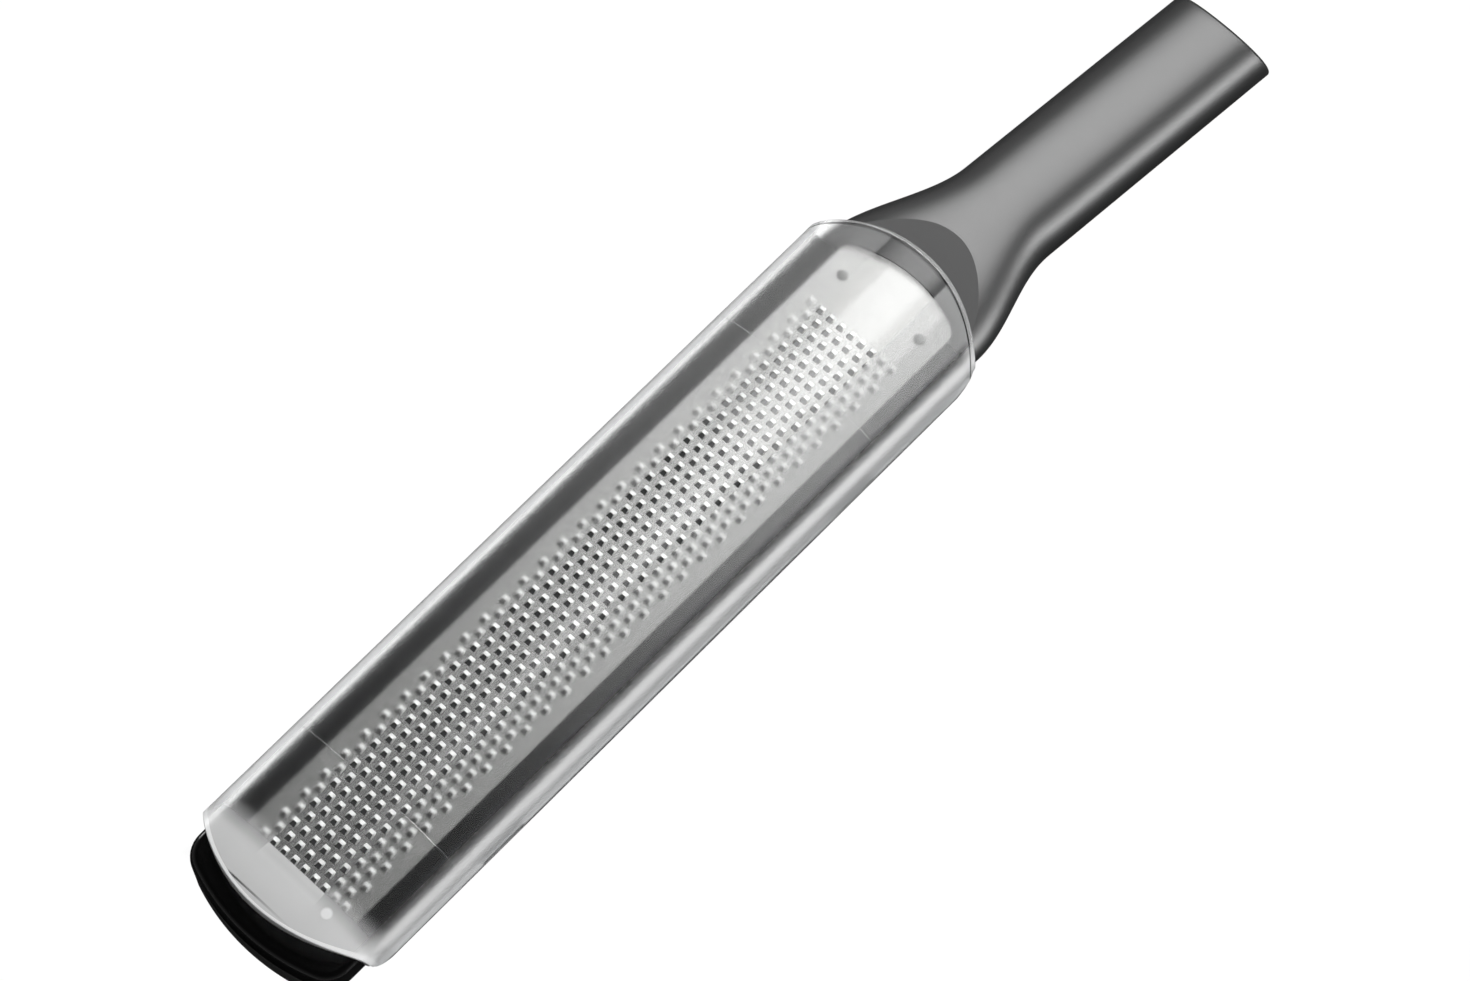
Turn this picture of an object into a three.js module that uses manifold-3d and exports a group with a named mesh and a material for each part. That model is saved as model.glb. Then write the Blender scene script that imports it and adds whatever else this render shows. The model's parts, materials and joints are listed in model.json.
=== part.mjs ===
// A fine hand grater with a slide-on blade cover, in millimetres, +Z up.
// It stands as it lies on a table: on the sole under its toe and on the heel of its handle.
// Inside the tilted group, X runs from the toe to the handle, from 0 at the blade's front edge,
// and Z is 0 on the blade's upper face.
import * as THREE from 'three';
import { mergeGeometries, mergeVertices } from 'three/addons/utils/BufferGeometryUtils.js';
import Module from 'manifold-3d';

const wasm = await Module();
wasm.setup();

const degrees = Math.PI / 180;

// Fits
const seatGap = 0.3;
const coverClearance = 1.1;

// Blade
const bladeLength = 230;
const bladeWidth = 37.8;
const bladeThickness = 0.6;
const bladeEndRadius = 38.5;
const bladeCornerRadius = 4;

// Teeth: a square pattern, every other row shifted by half a pitch
const toothPitch = 3.5;
const toothOpening = 2;
const toothFrontMargin = 10.5;
const toothRearMargin = 23.5;
const toothSideMargin = 4.9;

// Rivets, each set in from its end and side of the blade
const rivetHeadDiameter = 3.3;
const rivetHeadHeight = 0.7;
const rivetShankDiameter = 1.8;
const rivetShankLength = 4.5;
const rivetFrontInset = 6.3;
const rivetFrontSideInset = 6.9;
const rivetRearInset = 11.7;
const rivetRearSideInset = 5.65;

// Frame
const frameWidth = 52.6;
const railDepth = 6.8;
const toeOverhang = 10.9;
const toeRadius = 62;
const toeCornerRadius = 8;
const windowCornerRadius = 3;
const seamInset = 8;

// Sole under the toe
const footDepth = 14;
const soleWidth = 47;
const soleCornerRadius = 4;
const soleRearMargin = 0.6;

// Tang that carries the handle
const tangWidth = 14;
const tangThickness = 2.8;
const tangLength = 60;
const tangRoot = 4;
const tangRise = 1;

// Handle, measured along its own drooping axis from the seam with the frame
const handleDroop = 14.7 * degrees;
const handleAxisDepth = 4.8;
const handleLength = 137;
const handleEndSlope = 29 * degrees;
const handleWall = 3;
const flangeStart = 3;
const flangeLength = 43;
const gripWidth = 32.4;
const gripThickness = 21.8;
const gripSectionPower = 2.15;
const plugDepth = 6;

// Cover
const coverSetback = 4.8;
const coverRearLap = 4.2;
const coverRise = 10;
const coverWall = 1.6;
const coverSpringDepth = 1.5;
const coverArchPower = 2.5;
const coverEndRadius = 44.5;
const coverCornerRadius = 8;
const lugThickness = 1.5;
const lugLength = 14;
const lugReach = 2.4;
const lugSpacing = 126.5;

// Fineness of the round shapes
const arcSteps = 10;
const sectionSteps = 36;
const archSteps = 28;
const flangeSteps = 12;

// Places that follow from the sizes above
const seatDepth = bladeThickness + seatGap;
const seamX = bladeLength - seamInset;
const handleSeam = handleAxisDepth / Math.sin(handleDroop);
const handleStartX = seamX - handleAxisDepth / Math.tan(handleDroop);
const handleMiddleEnd = handleSeam + handleLength;
const coverWidth = frameWidth + 2 * (coverClearance + coverWall);
const coverBottom = -(railDepth + seatGap + lugThickness);
const coverFrontX = coverSetback - toeOverhang;
const coverRearX = bladeLength + coverRearLap;

// How far the cutting shapes stand past what they cut
const cutMargin = 1;
const reach = 2 * (bladeLength + handleLength);

// Rows of teeth
const toothRows = [];
const rowCount = Math.floor((bladeLength - toothFrontMargin - toothRearMargin) / toothPitch + 1e-6) + 1;
const fullRow = Math.floor((bladeWidth - 2 * toothSideMargin) / toothPitch + 1e-6) + 1;
for (let row = 0; row < rowCount; row++) {
  toothRows.push({ x: toothFrontMargin + row * toothPitch, count: fullRow - (row % 2) });
}
const windowFrontX = toothRows[0].x - toothPitch / 2;
const windowRearX = toothRows[rowCount - 1].x + toothPitch / 2;
const windowWidth = fullRow * toothPitch;

// Where the part touches the table: the toe's lower edge and the handle's lower end corner
const toePoint = new THREE.Vector3(-toeOverhang, 0, -footDepth);
const heelPoint = new THREE.Vector3(
  handleMiddleEnd + (gripThickness / 2) * Math.tan(handleEndSlope), 0, -gripThickness / 2
).applyMatrix4(handlePlace());
const restTilt = Math.atan2(toePoint.z - heelPoint.z, heelPoint.x - toePoint.x);

// From the handle's axis, along X, to its place in the tilted group
function handlePlace() {
  const turn = new THREE.Matrix4().makeRotationY(handleDroop);
  return new THREE.Matrix4().makeTranslation(handleStartX, 0, 0).multiply(turn);
}

// Closed mesh to solid
function solid(geometry) {
  const bare = geometry.clone();
  bare.deleteAttribute('normal');
  bare.deleteAttribute('uv');
  const merged = mergeVertices(bare, 1e-4);
  return new wasm.Manifold(new wasm.Mesh({
    numProp: 3,
    vertProperties: new Float32Array(merged.attributes.position.array),
    triVerts: new Uint32Array(merged.index.array)
  }));
}

// Solid back to a mesh geometry
function geometryOf(body) {
  const mesh = body.getMesh();
  const geometry = new THREE.BufferGeometry();
  geometry.setAttribute('position', new THREE.BufferAttribute(new Float32Array(mesh.vertProperties), 3));
  geometry.setIndex(new THREE.BufferAttribute(new Uint32Array(mesh.triVerts), 1));
  geometry.computeVertexNormals();
  return geometry;
}

// Upright prism of a plan shape
function prism(shape, bottom, top) {
  const options = { depth: top - bottom, bevelEnabled: false, curveSegments: arcSteps };
  return new THREE.ExtrudeGeometry(shape, options).translate(0, 0, bottom);
}

// Block between two corners
function block(low, high) {
  const size = high.map((value, axis) => value - low[axis]);
  const middle = high.map((value, axis) => (value + low[axis]) / 2);
  return new THREE.BoxGeometry(...size).translate(...middle);
}

// One end of a plan outline: an arc about a point on the axis, or a straight edge, with round corners
function outlineEnd(endX, side, half, radius, corner) {
  if (radius === Infinity) return { filletX: endX - side * corner, centreX: null, angle: 0 };
  const centreX = endX - side * radius;
  const rise = half - corner;
  const run = Math.sqrt((radius - corner) ** 2 - rise ** 2);
  return { filletX: centreX + side * run, centreX, angle: Math.asin(rise / (radius - corner)) };
}

// Plan outline along X: its two ends, its width, and each end's arc radius and corner radius
function outline(frontX, rearX, width, front, rear) {
  const half = width / 2;
  const shape = new THREE.Shape();
  const ends = [[rearX, 1, rear, 0], [frontX, -1, front, Math.PI]];
  for (const [endX, side, { radius, corner }, facing] of ends) {
    const { filletX, centreX, angle } = outlineEnd(endX, side, half, radius, corner);
    const offset = side * (half - corner);
    shape.absarc(filletX, -offset, corner, facing - Math.PI / 2, facing - angle);
    if (centreX !== null) shape.absarc(centreX, 0, radius, facing - angle, facing + angle);
    shape.absarc(filletX, offset, corner, facing + angle, facing + Math.PI / 2);
  }
  shape.closePath();
  return shape;
}

// Blade outline, grown by a margin on every side
function bladeOutline(margin) {
  const front = { radius: Infinity, corner: bladeCornerRadius + margin };
  const rear = { radius: bladeEndRadius + margin, corner: bladeCornerRadius + margin };
  return outline(-margin, bladeLength + margin, bladeWidth + 2 * margin, front, rear);
}

// The four rivets' places on the blade
function rivetPlaces() {
  const rows = [
    { end: 'front', x: rivetFrontInset, inset: rivetFrontSideInset },
    { end: 'rear', x: bladeLength - rivetRearInset, inset: rivetRearSideInset }
  ];
  const sides = [{ side: 'left', sign: 1 }, { side: 'right', sign: -1 }];
  return rows.flatMap(({ end, x, inset }) => sides.map(({ side, sign }) => (
    { name: `rivet_${end}_${side}`, x, y: sign * (bladeWidth / 2 - inset) }
  )));
}

// Round hole for a rivet's shank, from above the blade down to a depth
function rivetHole({ x, y }, depth) {
  const radius = rivetShankDiameter / 2 + seatGap;
  const hole = new THREE.CylinderGeometry(radius, radius, depth + cutMargin, 2 * arcSteps);
  return hole.rotateX(Math.PI / 2).translate(x, y, (cutMargin - depth) / 2);
}

// Blade: a flat sheet with a square opening in front of each tooth
function bladeGeometry() {
  const openings = [];
  const half = toothOpening / 2;
  const [low, high] = [-bladeThickness - cutMargin, cutMargin];
  for (const { x, count } of toothRows) {
    for (let tooth = 0; tooth < count; tooth++) {
      const y = (tooth - (count - 1) / 2) * toothPitch;
      openings.push(block([x - half, y - half, low], [x + half, y + half, high]));
    }
  }
  const holes = rivetPlaces().map((place) => rivetHole(place, bladeThickness + cutMargin));
  const sheet = solid(prism(bladeOutline(0), -bladeThickness, 0));
  return geometryOf(sheet.subtract(solid(mergeGeometries([...openings, ...holes]))));
}

// Rivet: a domed head just over the blade, on a shank
function rivetGeometry() {
  const head = rivetHeadDiameter / 2;
  const shank = rivetShankDiameter / 2;
  const domeRadius = (head ** 2 + rivetHeadHeight ** 2) / (2 * rivetHeadHeight);
  const profile = [new THREE.Vector2(0, -rivetShankLength), new THREE.Vector2(shank, -rivetShankLength)];
  profile.push(new THREE.Vector2(shank, seatGap), new THREE.Vector2(head, seatGap));
  const spread = Math.asin(head / domeRadius);
  const domeSteps = 4;
  for (let step = 1; step < domeSteps; step++) {
    const angle = spread * (1 - step / domeSteps);
    const height = seatGap + rivetHeadHeight - domeRadius * (1 - Math.cos(angle));
    profile.push(new THREE.Vector2(domeRadius * Math.sin(angle), height));
  }
  profile.push(new THREE.Vector2(0, seatGap + rivetHeadHeight));
  return new THREE.LatheGeometry(profile, 2 * arcSteps).rotateX(Math.PI / 2);
}

// Frame: rails round an open window, a toe, a seat for the blade and a tang for the handle
function frameGeometry() {
  const toe = { radius: toeRadius, corner: toeCornerRadius };
  const square = { radius: Infinity, corner: seatGap };
  const shape = outline(-toeOverhang, seamX, frameWidth, toe, square);
  const windowEnd = { radius: Infinity, corner: windowCornerRadius };
  shape.holes.push(outline(windowFrontX, windowRearX, windowWidth, windowEnd, windowEnd));
  let frame = solid(prism(shape, -railDepth, 0));
  frame = frame.subtract(solid(prism(bladeOutline(seatGap), -seatDepth, cutMargin)));
  for (const place of rivetPlaces()) {
    frame = frame.subtract(solid(rivetHole(place, rivetShankLength + seatGap)));
  }
  return geometryOf(frame.add(solid(tangBar(0, tangLength))));
}

// Bar along the handle's axis that the tang fills, grown by a margin
function tangBar(margin, length) {
  const half = [tangWidth / 2 + margin, tangThickness / 2 + margin];
  const low = [handleSeam - tangRoot, -half[0], tangRise - half[1]];
  const high = [handleSeam + length, half[0], tangRise + half[1]];
  return block(low, high).applyMatrix4(handlePlace());
}

// Sole: a rubber pad under the toe, cut level with the table
function soleGeometry() {
  const toe = { radius: toeRadius, corner: soleCornerRadius };
  const rear = { radius: Infinity, corner: soleCornerRadius };
  const shape = outline(-toeOverhang, windowFrontX - soleRearMargin, soleWidth, toe, rear);
  const pad = solid(prism(shape, -2 * footDepth, -railDepth - seatGap));
  const table = block([-reach, -reach, -reach], [reach, reach, 0]).rotateY(restTilt);
  return geometryOf(pad.subtract(solid(table.translate(toePoint.x, toePoint.y, toePoint.z))));
}

// Smooth step from 0 to 1
function ease(value) {
  return THREE.MathUtils.smoothstep(value, 0, 1);
}

// Loft through rings of equal length, closed by a fan at each end
function loft(rings) {
  const count = rings[0].length;
  const points = rings.flat();
  const faces = [];
  for (let ring = 0; ring < rings.length - 1; ring++) {
    for (let step = 0; step < count; step++) {
      const next = (step + 1) % count;
      const [a, b] = [ring * count + step, ring * count + next];
      faces.push(a, b, b + count, a, b + count, a + count);
    }
  }
  const last = (rings.length - 1) * count;
  for (let step = 1; step < count - 1; step++) {
    faces.push(0, step + 1, step, last, last + step, last + step + 1);
  }
  const geometry = new THREE.BufferGeometry().setFromPoints(points);
  geometry.setIndex(faces);
  return geometry;
}

// Ring of the grip's rounded section, across the handle's axis
function gripRing(along, halfWidth, rise, drop) {
  const ring = [];
  const power = 2 / gripSectionPower;
  for (let step = 0; step < sectionSteps; step++) {
    const angle = 2 * Math.PI * step / sectionSteps;
    const [c, s] = [Math.cos(angle), Math.sin(angle)];
    const height = s > 0 ? rise : drop;
    const y = halfWidth * Math.sign(c) * Math.abs(c) ** power;
    ring.push(new THREE.Vector3(along, y, height * Math.sign(s) * Math.abs(s) ** power));
  }
  return ring;
}

// Handle's outer form: a flange as wide as the frame that narrows and deepens into the grip
function gripForm() {
  const rise = gripThickness / 2;
  const frameDrop = (railDepth - handleAxisDepth) * Math.cos(handleDroop);
  const rings = [gripRing(handleSeam - gripThickness, frameWidth / 2, rise, frameDrop)];
  for (let step = 0; step <= flangeSteps; step++) {
    const share = ease(step / flangeSteps);
    const halfWidth = THREE.MathUtils.lerp(frameWidth, gripWidth, share) / 2;
    const drop = THREE.MathUtils.lerp(frameDrop, rise, share);
    const along = handleSeam + flangeStart + flangeLength * step / flangeSteps;
    rings.push(gripRing(along, halfWidth, rise, drop));
  }
  rings.push(gripRing(handleMiddleEnd + gripThickness, gripWidth / 2, rise, rise));
  return loft(rings);
}

// Straight bar of the grip's section, drawn in by a margin
function gripCore(margin, start) {
  const halves = [gripWidth / 2 - margin, gripThickness / 2 - margin];
  const stations = [start, handleMiddleEnd + gripThickness];
  return loft(stations.map((along) => gripRing(along, halves[0], halves[1], halves[1])));
}

// Everything past, or before, a slanted plane across the handle's end
function endBlock(setIn, side) {
  const span = side > 0 ? [0, reach] : [-reach, 0];
  const cut = block([span[0], -reach, -reach], [span[1], reach, reach]).rotateY(-handleEndSlope);
  return cut.translate(handleMiddleEnd - setIn, 0, 0);
}

// Handle: a hollow grip with a flat deck level with the blade, a seat for the blade's end and the tang
function handleGeometry() {
  const hollowStart = handleSeam + Math.max(tangLength, flangeStart + flangeLength) + handleWall;
  let handle = solid(gripForm()).subtract(solid(endBlock(0, 1)));
  handle = handle.subtract(solid(gripCore(handleWall, hollowStart)));
  handle = solid(geometryOf(handle).applyMatrix4(handlePlace()));
  const cuts = [
    block([-reach, -reach, 0], [reach, reach, reach]),
    block([-reach, -reach, -reach], [seamX + seatGap, reach, reach]),
    prism(bladeOutline(seatGap), -seatDepth, cutMargin),
    tangBar(seatGap, tangLength + seatGap)
  ];
  for (const cut of cuts) handle = handle.subtract(solid(cut));
  return geometryOf(handle);
}

// Plug that closes the hollow handle, flush with its slanted end
function plugGeometry() {
  const start = handleMiddleEnd - plugDepth - gripThickness;
  const core = solid(gripCore(handleWall + seatGap, start));
  const plug = core.subtract(solid(endBlock(0, 1))).subtract(solid(endBlock(plugDepth, -1)));
  return geometryOf(plug).applyMatrix4(handlePlace());
}

// Points of the cover's arch, from its left spring over the top to its right one
function archPoints(half, top) {
  const points = [];
  const power = 2 / coverArchPower;
  for (let step = 0; step <= archSteps; step++) {
    const angle = Math.PI * step / archSteps;
    const c = Math.cos(angle);
    const rise = (top + coverSpringDepth) * Math.sin(angle) ** power;
    points.push(new THREE.Vector2(half * Math.sign(c) * Math.abs(c) ** power, rise - coverSpringDepth));
  }
  return points;
}

// Cover: an arched channel, open below and at its round ends, with lugs that hook under the rails
function coverGeometry() {
  const half = coverWidth / 2;
  const inner = half - coverWall;
  const section = new THREE.Shape([
    new THREE.Vector2(half, coverBottom), ...archPoints(half, coverRise),
    new THREE.Vector2(-half, coverBottom), new THREE.Vector2(-inner, coverBottom),
    ...archPoints(inner, coverRise - coverWall).reverse(), new THREE.Vector2(inner, coverBottom)
  ]);
  const forward = new THREE.Matrix4().makeBasis(
    new THREE.Vector3(0, 1, 0), new THREE.Vector3(0, 0, 1), new THREE.Vector3(1, 0, 0));
  const channel = prism(section, coverFrontX, coverRearX).applyMatrix4(forward);
  const round = { radius: coverEndRadius, corner: seatGap };
  const plan = outline(coverFrontX, coverRearX, coverWidth + 2 * cutMargin, round, round);
  const sag = coverEndRadius - Math.sqrt(coverEndRadius ** 2 - half ** 2);
  const side = new THREE.Shape();
  const [low, frontX, rearX] = [coverBottom + coverCornerRadius, coverFrontX + sag, coverRearX - sag];
  side.absarc(frontX + coverCornerRadius, low, coverCornerRadius, Math.PI, 1.5 * Math.PI);
  side.absarc(rearX - coverCornerRadius, low, coverCornerRadius, -0.5 * Math.PI, 0);
  side.lineTo(coverRearX + cutMargin, low);
  side.lineTo(coverRearX + cutMargin, coverRise + cutMargin);
  side.lineTo(coverFrontX - cutMargin, coverRise + cutMargin);
  side.lineTo(coverFrontX - cutMargin, low);
  side.closePath();
  const profile = prism(side, -half - cutMargin, half + cutMargin).rotateX(Math.PI / 2);
  const upright = prism(plan, coverBottom - cutMargin, coverRise + cutMargin);
  let cover = solid(channel).intersect(solid(upright));
  cover = cover.intersect(solid(profile));
  for (const lug of lugBlocks(inner)) cover = cover.add(solid(lug));
  return geometryOf(cover);
}

// Four lugs, two on each inner wall of the cover
function lugBlocks(inner) {
  const middle = (coverFrontX + coverRearX) / 2;
  const blocks = [];
  for (const x of [middle - lugSpacing / 2, middle + lugSpacing / 2]) {
    for (const side of [-1, 1]) {
      const ys = [side * (inner - lugReach), side * (inner + coverWall / 2)].sort((a, b) => a - b);
      const low = [x - lugLength / 2, ys[0], coverBottom];
      blocks.push(block(low, [x + lugLength / 2, ys[1], coverBottom + lugThickness]));
    }
  }
  return blocks;
}

// Finishes
const plastic = new THREE.MeshStandardMaterial({ color: 0x2b2d2f, roughness: 0.42, metalness: 0 });
const steel = new THREE.MeshStandardMaterial({ color: 0xb9b8b4, roughness: 0.28, metalness: 1 });
const rubber = new THREE.MeshStandardMaterial({ color: 0x161617, roughness: 0.8, metalness: 0 });
const clear = new THREE.MeshStandardMaterial({
  color: 0xf1f4f5, roughness: 0.12, metalness: 0, transparent: true, opacity: 0.35
});

// Assembly
const grater = new THREE.Group();
grater.rotation.y = -restTilt;

function place(name, geometry, material, x = 0, y = 0) {
  const mesh = new THREE.Mesh(geometry, material);
  mesh.name = name;
  mesh.position.set(x, y, 0);
  grater.add(mesh);
}

place('frame', frameGeometry(), plastic);
place('blade', bladeGeometry(), steel);
for (const { name, x, y } of rivetPlaces()) place(name, rivetGeometry(), steel, x, y);
place('foot_sole', soleGeometry(), rubber);
place('handle', handleGeometry(), plastic);
place('handle_end_plug', plugGeometry(), plastic);
place('cover', coverGeometry(), clear);

// The origin lies on the table, under the middle of the part
const part = new THREE.Group();
part.add(grater);
part.updateMatrixWorld(true);
const extent = new THREE.Box3().setFromObject(part, true);
grater.position.x = -(extent.min.x + extent.max.x) / 2;
grater.position.z = -extent.min.z;

export default part;
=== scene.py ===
"""Dresses a fine hand grater: a toothed steel blade, a satin handle and a clear slide-on cover.

Sizes are in millimetres in the blade's own plane: x runs from the blade's front edge to the handle,
y to the left, and z is 0 on the blade's upper face. Placement turns them into the row frame, in metres.
"""

import json
import logging
import math
from dataclasses import dataclass, field
from enum import Enum
from functools import partial, reduce

import bmesh
import bpy
import numpy as np
from mathutils import Matrix, Vector


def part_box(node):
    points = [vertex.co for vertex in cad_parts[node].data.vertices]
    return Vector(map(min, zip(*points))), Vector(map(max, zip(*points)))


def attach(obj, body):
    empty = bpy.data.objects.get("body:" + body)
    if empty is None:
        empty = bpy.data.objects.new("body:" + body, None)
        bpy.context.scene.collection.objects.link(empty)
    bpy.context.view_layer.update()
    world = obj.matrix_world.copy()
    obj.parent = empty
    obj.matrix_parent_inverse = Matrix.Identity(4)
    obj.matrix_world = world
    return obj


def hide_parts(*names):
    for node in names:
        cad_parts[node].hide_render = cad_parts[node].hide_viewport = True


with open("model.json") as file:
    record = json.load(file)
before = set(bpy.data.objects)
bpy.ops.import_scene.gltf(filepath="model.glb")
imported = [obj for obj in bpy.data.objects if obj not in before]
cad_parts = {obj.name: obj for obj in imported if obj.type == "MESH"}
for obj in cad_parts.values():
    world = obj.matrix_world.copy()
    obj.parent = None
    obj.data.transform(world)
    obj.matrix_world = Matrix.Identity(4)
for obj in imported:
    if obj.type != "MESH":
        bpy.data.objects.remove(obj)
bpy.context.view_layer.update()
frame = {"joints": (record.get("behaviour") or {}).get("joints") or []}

LOG = logging.getLogger("grater")
MM = 0.001
SEAT_GAP = 0.3
SMALLEST_CORNER = 0.05
MERGE_DISTANCE = 0.004
SHORTEST_EDGE = 0.002
NOISE_RANGE = (0.3, 0.7)
AXIS_X, AXIS_Y, AXIS_Z = (1.0, 0.0, 0.0), (0.0, 1.0, 0.0), (0.0, 0.0, 1.0)

Pair = tuple[float, float]
Triple = tuple[float, float, float]
Socket = bpy.types.NodeSocket
Material = bpy.types.Material


class Body(Enum):
    """The two bodies that pieces ride on."""

    GRATER = "grater"
    COVER = "cover"


class Slot(Enum):
    """The record's material slots."""

    PLASTIC = "body_plastic"
    BLADE = "blade_steel"
    RIVET = "rivet_steel"
    SOLE = "sole_rubber"
    CLEAR = "cover_clear"


class Side(Enum):
    """Left and right of the blade, with the sign of y."""

    LEFT = 1
    RIGHT = -1


@dataclass(frozen=True)
class Placement:
    """Where the blade's plane lies in the row frame.

    Attributes:
        tilt: Rise of the blade towards the handle, in radians.
        origin: Middle of the blade's front edge, in metres.
    """

    tilt: float
    origin: Triple

    @classmethod
    def from_frame(cls, thickness: float) -> "Placement":
        """Reads the tilt from the cover's slide and the origin from the blade's box.

        Args:
            thickness: Thickness of the blade, in millimetres.

        Returns:
            The placement of the blade's plane.
        """
        axis = frame["joints"][0]["axis"]
        tilt = math.atan2(-axis[2], -axis[0])
        low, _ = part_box("blade")
        return cls(tilt, (low[0], 0.0, low[2] + thickness * MM * math.cos(tilt)))

    def turn(self) -> np.ndarray:
        """Rotation from the blade's plane to the row frame."""
        c, s = math.cos(self.tilt), math.sin(self.tilt)
        return np.array([[c, 0.0, -s], [0.0, 1.0, 0.0], [s, 0.0, c]])

    def to_row(self, points: np.ndarray) -> np.ndarray:
        """Turns points by the tilt, x' = x cos t - z sin t and z' = x sin t + z cos t, and shifts them.

        Args:
            points: Points in the blade's plane, in millimetres.

        Returns:
            The points in the row frame, in metres.
        """
        return points @ self.turn().T * MM + np.array(self.origin)


class Surface:
    """Gathers grids of points into one mesh."""

    def __init__(self) -> None:
        """Starts with no points and no faces."""
        self.points: list[np.ndarray] = []
        self.faces: list[np.ndarray] = []
        self.count = 0

    def add(self, points: np.ndarray, faces: np.ndarray) -> "Surface":
        """Adds points with the faces that join them.

        Args:
            points: Array of n points.
            faces: Array of m quads, as indices into these points.

        Returns:
            The surface itself.
        """
        self.points.append(points)
        self.faces.append(faces + self.count)
        self.count += len(points)
        return self

    def grid(self, points: np.ndarray, close_rows: bool = False,
             close_columns: bool = False) -> "Surface":
        """Adds the quads of a grid of points, point (i, j) joined to (i + 1, j) and (i, j + 1).

        Args:
            points: Array of rows by columns by 3.
            close_rows: Whether the last row joins the first.
            close_columns: Whether the last column joins the first.

        Returns:
            The surface itself.
        """
        rows, columns = points.shape[:2]
        index = np.arange(rows * columns).reshape(rows, columns)
        if close_rows:
            index = np.vstack([index, index[:1]])
        if close_columns:
            index = np.hstack([index, index[:, :1]])
        corners = [index[:-1, :-1], index[1:, :-1], index[1:, 1:], index[:-1, 1:]]
        return self.add(points.reshape(-1, 3), np.stack(corners, axis=-1).reshape(-1, 4))

    def build(self, name: str, placement: Placement, sharp_angle: float = 30.0) -> bpy.types.Object:
        """Makes the mesh object: doubles merged, holes closed, smooth between sharp edges.

        Args:
            name: Name of the piece.
            placement: Where the blade's plane lies.
            sharp_angle: Edges bent by more than this, in degrees, stay sharp.

        Returns:
            The object, at the origin, with its place in its mesh.
        """
        mesh = bpy.data.meshes.new(name)
        points = placement.to_row(np.concatenate(self.points))
        mesh.from_pydata(points.tolist(), [], np.concatenate(self.faces).tolist())
        work = bmesh.new()
        work.from_mesh(mesh)
        bmesh.ops.remove_doubles(work, verts=work.verts, dist=MERGE_DISTANCE * MM)
        bmesh.ops.dissolve_degenerate(work, edges=work.edges, dist=SHORTEST_EDGE * MM)
        bmesh.ops.holes_fill(work, edges=work.edges, sides=0)
        bmesh.ops.recalc_face_normals(work, faces=work.faces)
        work.to_mesh(mesh)
        work.free()
        mesh.shade_smooth()
        mesh.set_sharp_from_angle(angle=math.radians(sharp_angle))
        piece = bpy.data.objects.new(name, mesh)
        bpy.context.scene.collection.objects.link(piece)
        return piece


def dress(piece: bpy.types.Object, finish: Material, body: Body, slot: Slot, *nodes: str) -> None:
    """Gives a piece its finish and its body, and hides the CAD nodes that it stands for.

    Args:
        piece: The piece.
        finish: Its material.
        body: The body that it rides on.
        slot: The record's slot of its finish; not used.
        nodes: Names of the CAD nodes that it replaces.
    """
    piece.data.materials.append(finish)
    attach(piece, body.value)
    if nodes:
        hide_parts(*nodes)
    LOG.info("%s: %d faces on %s", piece.name, len(piece.data.polygons), body.value)


def smooth_step(share: np.ndarray) -> np.ndarray:
    """Eases from 0 to 1: 3 t^2 - 2 t^3 on t held between 0 and 1."""
    t = np.clip(share, 0.0, 1.0)
    return t * t * (3.0 - 2.0 * t)


def signed_power(value: np.ndarray, power: float) -> np.ndarray:
    """Raises the size of a value to a power and keeps its sign."""
    return np.sign(value) * np.abs(value) ** power


def resample(points: np.ndarray, count: int) -> np.ndarray:
    """Places points at even steps of length along a line.

    Args:
        points: The line's points.
        count: How many points to place.

    Returns:
        The even points, both ends kept.
    """
    steps = np.linalg.norm(np.diff(points, axis=0), axis=1)
    length = np.concatenate([[0.0], np.cumsum(steps)])
    even = np.linspace(0.0, length[-1], count)
    return np.column_stack([np.interp(even, length, column) for column in points.T])


def arc(x: float, y: float, radius: float, angle: np.ndarray) -> np.ndarray:
    """Points of an arc round a middle: x + r cos a and y + r sin a."""
    return np.column_stack([x + radius * np.cos(angle), y + radius * np.sin(angle)])


def quarter_turn(count: int) -> np.ndarray:
    """Even angles from 0 to a quarter turn, both kept."""
    return np.linspace(0.0, math.pi / 2, count)


def full_turn(count: int) -> np.ndarray:
    """Even angles round a circle."""
    return np.linspace(0.0, 2 * math.pi, count, endpoint=False)


def metres(*lengths: float) -> tuple[float, ...]:
    """Turns lengths in millimetres into metres."""
    return tuple(length * MM for length in lengths)


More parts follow.
